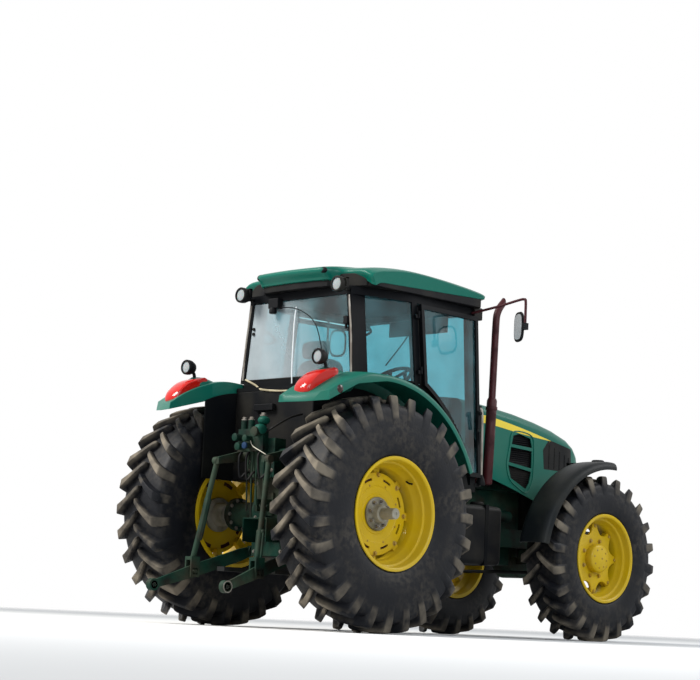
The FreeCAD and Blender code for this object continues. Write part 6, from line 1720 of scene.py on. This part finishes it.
@dataclass
class Chassis:
    """Frame, engine, axles, tank, steps, stack and weights, with their bolts and straps."""

    stack_foot: Point = (1.5235, -0.600, 1.190)
    stack_neck: Point = (1.551, -0.600, 1.870)
    pipe_outside: float = 0.029
    pipe_inside: float = 0.0255
    slant: float = 0.030
    bolt_count: int = 10
    axle_up: float = 0.858
    strap_stations: tuple[float, ...] = (1.08, 1.52)
    strap_width: float = 0.040
    tread_levels: tuple[float, ...] = (0.440, 0.690, 0.920)
    tread_count: int = 6
    tread_pitch: float = 0.045

    def stack(self) -> Shape:
        """Return the exhaust: a branch, a long muffler and a bent pipe open at a slanted cut.

        Each ring of the pipe lies square to its path. Toward the tip it slides back along the path
        with the cosine of its angle, so the end is cut at a slant. The inner skin goes back inside.

        Returns:
            The exhaust.
        """
        low, high = np.array(self.stack_foot), np.array(self.stack_neck)
        along = (high - low) / np.linalg.norm(high - low)
        origin = (0.0, 0.0, 0.0)
        muffler = revolved([(0, 0), (0.030, 0), (0.041, 0.012), (0.041, 0.672), (0.033, 0.690), (0.0, 0.690)],
                           origin, Axis.Z, 28)
        muffler = muffler.spun(Axis.Y, np.array([math.asin(along[0])]), origin).moved(low)
        path = spline([(1.550, -0.600, 1.860), (1.560, -0.600, 2.250), (1.568, -0.600, 2.500),
                       (1.580, -0.600, 2.570), (1.612, -0.600, 2.625), (1.648, -0.600, 2.664)], 30)
        turn = np.linspace(0, FULL_TURN, 28, endpoint=False)[None, :]
        step = np.gradient(path, axis=0)
        step /= np.linalg.norm(step, axis=1)[:, None]
        over, side = np.cross([0.0, 1.0, 0.0], step), np.array([0.0, 1.0, 0.0])
        round_it = np.cos(turn)[..., None] * over[:, None] + np.sin(turn)[..., None] * side
        cut = np.clip(1.0 - np.linspace(1, 0, len(path)) / 0.12, 0, 1)[:, None] * np.cos(turn)
        outer, inner = (path[:, None] + radius * round_it - self.slant * cut[..., None] * step[:, None]
                        for radius in (self.pipe_outside, self.pipe_inside))
        pipe = skinned(np.concatenate([outer, inner[::-1][:9]]))
        branch = tube([(1.5245, -0.600, 1.225), (1.5245, -0.400, 1.225), (1.5245, -0.190, 1.225)], 0.030, 20)
        return joined(muffler, pipe, branch)

    def axle_bolts(self) -> Shape:
        """Return the rings of bolts on the axle's outer flanges and on its inner ones.

        Returns:
            The bolts of both sides.
        """
        angles = np.arange(self.bolt_count) * FULL_TURN / self.bolt_count
        ring = bolt((0.110, 0.5945, 0.0), Axis.Y, -1.0, 0.011, 0.012).spun(Axis.Y, angles, (0, 0, 0))
        drive = bolt((0.148, 0.284, 0.0), Axis.Y, 1.0, 0.011, 0.012).spun(Axis.Y, angles, (0, 0, 0))
        return both_sides(joined(ring, drive)).moved((0.0, 0.0, self.axle_up))

    def build(self, frame: Frame) -> None:
        """Soften the castings and sheet work, and add fasteners."""
        for node, finish, bevel in (
                ("front_frame", CASTING, 0.006), ("engine_block", CASTING, 0.010),
                ("gearbox", CASTING, 0.014), ("rear_axle_housing", CASTING, 0.010),
                ("front_axle_beam", CASTING, 0.008), ("tie_rod", BLACK, 0.003),
                ("front_weights", DARK_CASTING, 0.012), ("fuel_tank", MOULDED, 0.045),
                ("steps", BLACK, 0.004), ("radiator", DARK_CASTING, 0.004),
                ("shaft_guard", CASTING, 0.003), ("pto_stub", BARE, 0.002)):
            frame.softened(node, finish, bevel, 3)
        for name, _side in SIDES:
            frame.softened("knuckle_" + name, CASTING, 0.005)
        frame.piece("bent_exhaust", self.stack(), RUSTED, "exhaust", True, crease=50.0)
        frame.piece("axle_bolts", self.axle_bolts(), BARE, "rear_axle_housing", slot=Slot.STEEL)
        cover = [bolt((-0.2495, y, z), Axis.X, -1.0, 0.010, 0.010) for y in (-0.145, -0.05, 0.05, 0.145)
                 for z in (0.565, 0.82, 1.075) if abs(y) > 0.1 or z > 1.0]
        frame.piece("rear_case_bolts", joined(*cover), BARE, "rear_axle_housing", slot=Slot.STEEL)
        clamp = revolved([(0.0415, -0.012), (0.047, -0.012), (0.047, 0.012), (0.0415, 0.012)],
                         (1.549, -0.600, 1.800), Axis.Z, 28)
        cap = revolved([(0, 0), (0.052, 0), (0.055, 0.006), (0.055, 0.022), (0.048, 0.030), (0, 0.032)],
                       (1.560, -0.470, 1.029), Axis.Z, 28)
        frame.piece("stack_clamp", clamp, RUSTED, "exhaust")
        frame.piece("tank_cap", cap, MOULDED, "fuel_tank")
        straps = [block((x, -0.6035, 0.556), (x + self.strap_width, -0.223, 1.0345))
                  for x in self.strap_stations]
        frame.piece("tank_straps", joined(*straps), BLACK, "fuel_tank", bevel=0.002)
        treads = [block((1.012 + self.tread_pitch * i, 0.66, z + 0.023),
                        (1.030 + self.tread_pitch * i, 0.800, z + 0.0275))
                  for i in range(self.tread_count) for z in self.tread_levels]
        frame.piece("step_treads", joined(*treads), BLACK, "steps")


@dataclass
class Hitch:
    """The rear hydraulics and the three-point linkage, with caps, knobs, hoses and bolts."""

    ball: Point = (-1.000, 0.400, 0.282)
    rod_top: Point = (-0.541, 0.2865, 1.224)
    rod_foot: Point = (-0.6685, 0.352, 0.4147)
    fork_half: float = 0.030
    caps_x: float = -0.4655
    towers_x: float = -0.3883

    def links(self, frame: Frame) -> None:
        """Soften the linkage's bars and add the lower links' balls."""
        for name, side in SIDES:
            frame.softened("lift_rod_" + name, CASTING, 0.003)
            frame.softened("lower_link_" + name, CASTING, 0.004)
            eye = revolved([(0.0145, -0.0225), (0.030, -0.0225), (0.034, -0.012), (0.034, 0.012),
                            (0.030, 0.0225), (0.0145, 0.0225)], self.ball, Axis.Y, 28)
            ring = revolved([(0.036, 0.0225), (0.043, 0.0225), (0.043, 0.025), (0.036, 0.025)],
                            self.ball, Axis.Y, 28)
            frame.piece("link_ball_" + name, joined(eye, ring).mirrored(side), BARE, "lower_link_" + name,
                        slot=Slot.STEEL)

    def cap(self, y: float, z: float, radius: float) -> Shape:
        """Return a domed coupling cap that looks rearward.

        Args:
            y: Width of its middle.
            z: Height of its middle.
            radius: Its radius.

        Returns:
            The cap.
        """
        outline = np.array([(0, 0), (1.12, 0), (1.16, -0.006), (1.10, -0.014), (0.6, -0.018), (0, -0.018)])
        return revolved(outline * [radius, 1], (self.caps_x, y, z), Axis.X, 24)

    def rods(self, frame: Frame) -> None:
        """Add the left lift rod's screw sleeve and the right one's fork."""
        top, foot = np.array(self.rod_top), np.array(self.rod_foot)
        sleeve = tube([top + share * (foot - top) for share in (0.34, 0.36, 0.72, 0.74)],
                      np.array([0.020, 0.0265, 0.0265, 0.020]), 8)
        frame.piece("screw_sleeve", sleeve, CASTING, "lift_rod_left")
        top, foot = top * [1, -1, 1], foot * [1, -1, 1]
        prongs = [tube([top + share * (foot - top) + [0.0, out, 0.0] for share in (0.66, 0.70, 0.985)],
                       0.011, 8) for out in (-self.fork_half, self.fork_half)]
        yoke = pillow(tuple(top + 0.66 * (foot - top)), (0.020, 0.040, 0.020), power=0.7, steps=(12, 20))
        frame.piece("lift_fork", joined(*prongs, yoke), CASTING, "lift_rod_right")

    def hoses(self) -> Shape:
        """Return the three hoses that hang below the valves, and the one that enters the cab.

        Returns:
            The hoses.
        """
        found = [bent([(-0.400, y0, 1.300), (-0.425, y0, 1.250), (-0.430, 0.5 * (y0 + y1), 1.16 - sag),
                       (-0.395, y1, 1.14), (-0.362, y1, 1.150)], 0.009, 26, 8)
                 for y0, y1, sag in ((0.167, 0.120, 0.05), (0.088, 0.040, 0.07), (-0.040, -0.110, 0.06))]
        return joined(*found, bent([(-0.388, -0.070, 1.440), (-0.380, -0.150, 1.480), (-0.250, -0.180, 1.56),
                                    (-0.125, -0.180, 1.600)], 0.008, 24, 8))

    def build(self, frame: Frame) -> None:
        """Soften the castings and bars, and add the small hydraulics."""
        for node, finish, bevel in (
                ("hitch_housing", CASTING, 0.010), ("remote_valves", CASTING, 0.004),
                ("lift_arms", CASTING, 0.005), ("top_link_bracket", CASTING, 0.005),
                ("drawbar", DARK_CASTING, 0.004)):
            frame.softened(node, finish, bevel, 2)
        self.links(frame)
        caps = [self.cap(*given) for given in ((0.172, 1.405, 0.026), (0.140, 1.335, 0.026),
                                               (-0.038, 1.440, 0.034), (0.062, 1.395, 0.022))]
        frame.piece("coupling_caps", joined(*caps), CASTING, "remote_valves")
        frame.piece("blue_coupling_cap", self.cap(0.062, 1.340, 0.022), CAP_BLUE, "remote_valves")
        levers = [tube([(-0.372, y, 1.300), (-0.380, y, 1.10), (-0.376, y - 0.01, low)], 0.007, 8)
                  for y, low in ((0.120, 0.86), (0.070, 0.80), (0.020, 0.90), (-0.060, 0.84))]
        frame.piece("control_rods", joined(*levers), CASTING, "hitch_housing")
        wire = bent([(-0.425, 0.060, 1.395), (-0.430, 0.020, 1.340), (-0.425, -0.060, 1.300),
                     (-0.400, -0.130, 1.262), (-0.370, -0.150, 1.250)], 0.0035, 24, 6)
        frame.piece("trigger_wire", wire, PALE_WIRE, "remote_valves")
        knobs = joined(pillow((-0.392, -0.050, 1.530), (0.044, 0.042, 0.032), power=0.8, steps=(14, 24)),
                       pillow((-0.420, -0.046, 1.462), (0.048, 0.046, 0.040), power=0.8, steps=(14, 24)))
        frame.piece("valve_knobs", knobs, VALVE_GREEN, "remote_valves")
        self.rods(frame)
        nuts = [bolt((self.towers_x, y, z), Axis.Z, 1.0, radius * 0.72, 0.022)
                for y, radius, z in ((0.167, 0.024, 1.540), (0.088, 0.024, 1.540), (-0.040, 0.027, 1.566))]
        frame.piece("tower_nuts", joined(*nuts), BARE, "remote_valves", slot=Slot.STEEL)
        frame.piece("hydraulic_lines", self.hoses(), MOULDED, "remote_valves", slot=Slot.PLASTIC)
        bolts = [bolt((-0.3605, y, z), Axis.X, -1.0, 0.010, 0.010) for y in (-0.125, 0.125)
                 for z in (1.16, 1.225)]
        frame.piece("housing_bolts", joined(*bolts), BARE, "hitch_housing", slot=Slot.STEEL)


@dataclass
class Studio:
    """Camera at the photo's place, a white backdrop, a pale floor and soft lamps."""

    eye: Point = (-11.6621, -10.9738, 0.1157)
    yaw: float = math.radians(45.011)
    pitch: float = math.radians(7.857)
    roll: float = math.radians(2.569)
    lens: float = 102.835

    def camera(self) -> None:
        """Stand the camera where the photo was taken from."""
        ahead = np.array([math.cos(self.pitch) * math.cos(self.yaw),
                          math.cos(self.pitch) * math.sin(self.yaw), math.sin(self.pitch)])
        right = np.array([math.sin(self.yaw), -math.cos(self.yaw), 0.0])
        up = np.cross(right, ahead)
        across = math.cos(self.roll) * right + math.sin(self.roll) * up
        upward = -math.sin(self.roll) * right + math.cos(self.roll) * up
        turn = np.eye(4)
        turn[:3, 0], turn[:3, 1], turn[:3, 2], turn[:3, 3] = across, upward, -ahead, self.eye
        data = bpy.data.cameras.new("photo_camera")
        data.lens, data.sensor_width = self.lens, 36.0
        data.clip_start, data.clip_end = 0.1, 200.0
        camera = bpy.data.objects.new("photo_camera", data)
        camera.matrix_world = Matrix(turn.tolist())
        bpy.context.scene.collection.objects.link(camera)
        bpy.context.scene.camera = camera

    def world(self) -> None:
        """Show plain white to the camera, to metal and through glass, and light softly with grey."""
        world = bpy.data.worlds.new("studio_sky")
        bpy.context.scene.world = world
        world.use_nodes = True
        tree = world.node_tree
        tree.nodes.clear()
        path = add(tree, "LightPath")
        soft = add(tree, "Background", {"Color": (0.86, 0.93, 1.0, 1.0), "Strength": 0.46})
        white = add(tree, "Background", {"Color": (1.0, 1.0, 1.0, 1.0), "Strength": 1.0})
        seen = path.outputs["Is Camera Ray"]
        for ray in ("Is Glossy Ray", "Is Transmission Ray"):
            seen = add(tree, "Math", {0: seen, 1: path.outputs[ray]}, operation="MAXIMUM").outputs[0]
        mix = add(tree, "MixShader", {0: seen, 1: soft.outputs[0], 2: white.outputs[0]})
        add(tree, "OutputWorld", {"Surface": mix.outputs[0]})

    def lamp(self, name: str, place: Point, size: float, power: float,
             colour: Point) -> None:
        """Hang one square lamp that faces the machine.

        Args:
            name: The lamp's name.
            place: Where it hangs.
            size: Its width.
            power: Its power in watts.
            colour: Its colour.
        """
        data = bpy.data.lights.new(name, "AREA")
        data.size, data.energy, data.color = size, power, colour
        lamp = bpy.data.objects.new(name, data)
        aim = np.array([0.0, 0.0, 1.2]) - np.array(place)
        lamp.matrix_world = look_along(np.array(place), aim)
        bpy.context.scene.collection.objects.link(lamp)

    def build(self) -> None:
        """Build the whole studio."""
        self.world()
        self.lamp("key_lamp", (-9.0, 4.5, 9.5), 5.0, 2300.0, (1.0, 0.97, 0.92))
        self.lamp("fill_lamp", (-3.0, -11.0, 6.0), 6.0, 600.0, (0.92, 0.96, 1.0))
        self.lamp("rim_lamp", (8.0, -6.0, 8.0), 5.0, 500.0, (1.0, 1.0, 1.0))
        reach = 40.0
        mesh = bpy.data.meshes.new("studio_floor")
        mesh.from_pydata([(-reach, -reach, 0), (reach, -reach, 0), (reach, reach, 0), (-reach, reach, 0)],
                         [], [(0, 1, 2, 3)])
        mesh.materials.append(Ground("matt_studio_floor").material())
        floor = bpy.data.objects.new("studio_floor", mesh)
        bpy.context.scene.collection.objects.link(floor)
        bpy.context.scene.view_settings.view_transform = "Standard"


def look_along(place: np.ndarray, aim: np.ndarray) -> Matrix:
    """Return the matrix of an object at a place whose minus Z looks along a direction."""
    back = -aim / np.linalg.norm(aim)
    right = np.cross([0.0, 0.0, 1.0], back)
    right /= np.linalg.norm(right)
    turn = np.eye(4)
    turn[:3, 0], turn[:3, 1], turn[:3, 2], turn[:3, 3] = right, np.cross(back, right), back, place
    return Matrix(turn.tolist())


def main() -> None:
    """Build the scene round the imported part."""
    frame = Frame(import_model())
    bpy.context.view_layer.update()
    studio = Studio()
    studio.camera()
    frame.dress()
    for tyre in tyres():
        tyre.build(frame)
    for name, side in SIDES:
        RearWheel(name, side).build(frame)
        FrontWheel(name, side).build(frame)
    for assembly in (RearFenders(), FrontFenders(), Roof(), Hood(), Cab(), Interior(), Lamps(), Chassis(),
                     Hitch()):
        assembly.build(frame)
    studio.build()


if __name__ == "__main__":
    main()
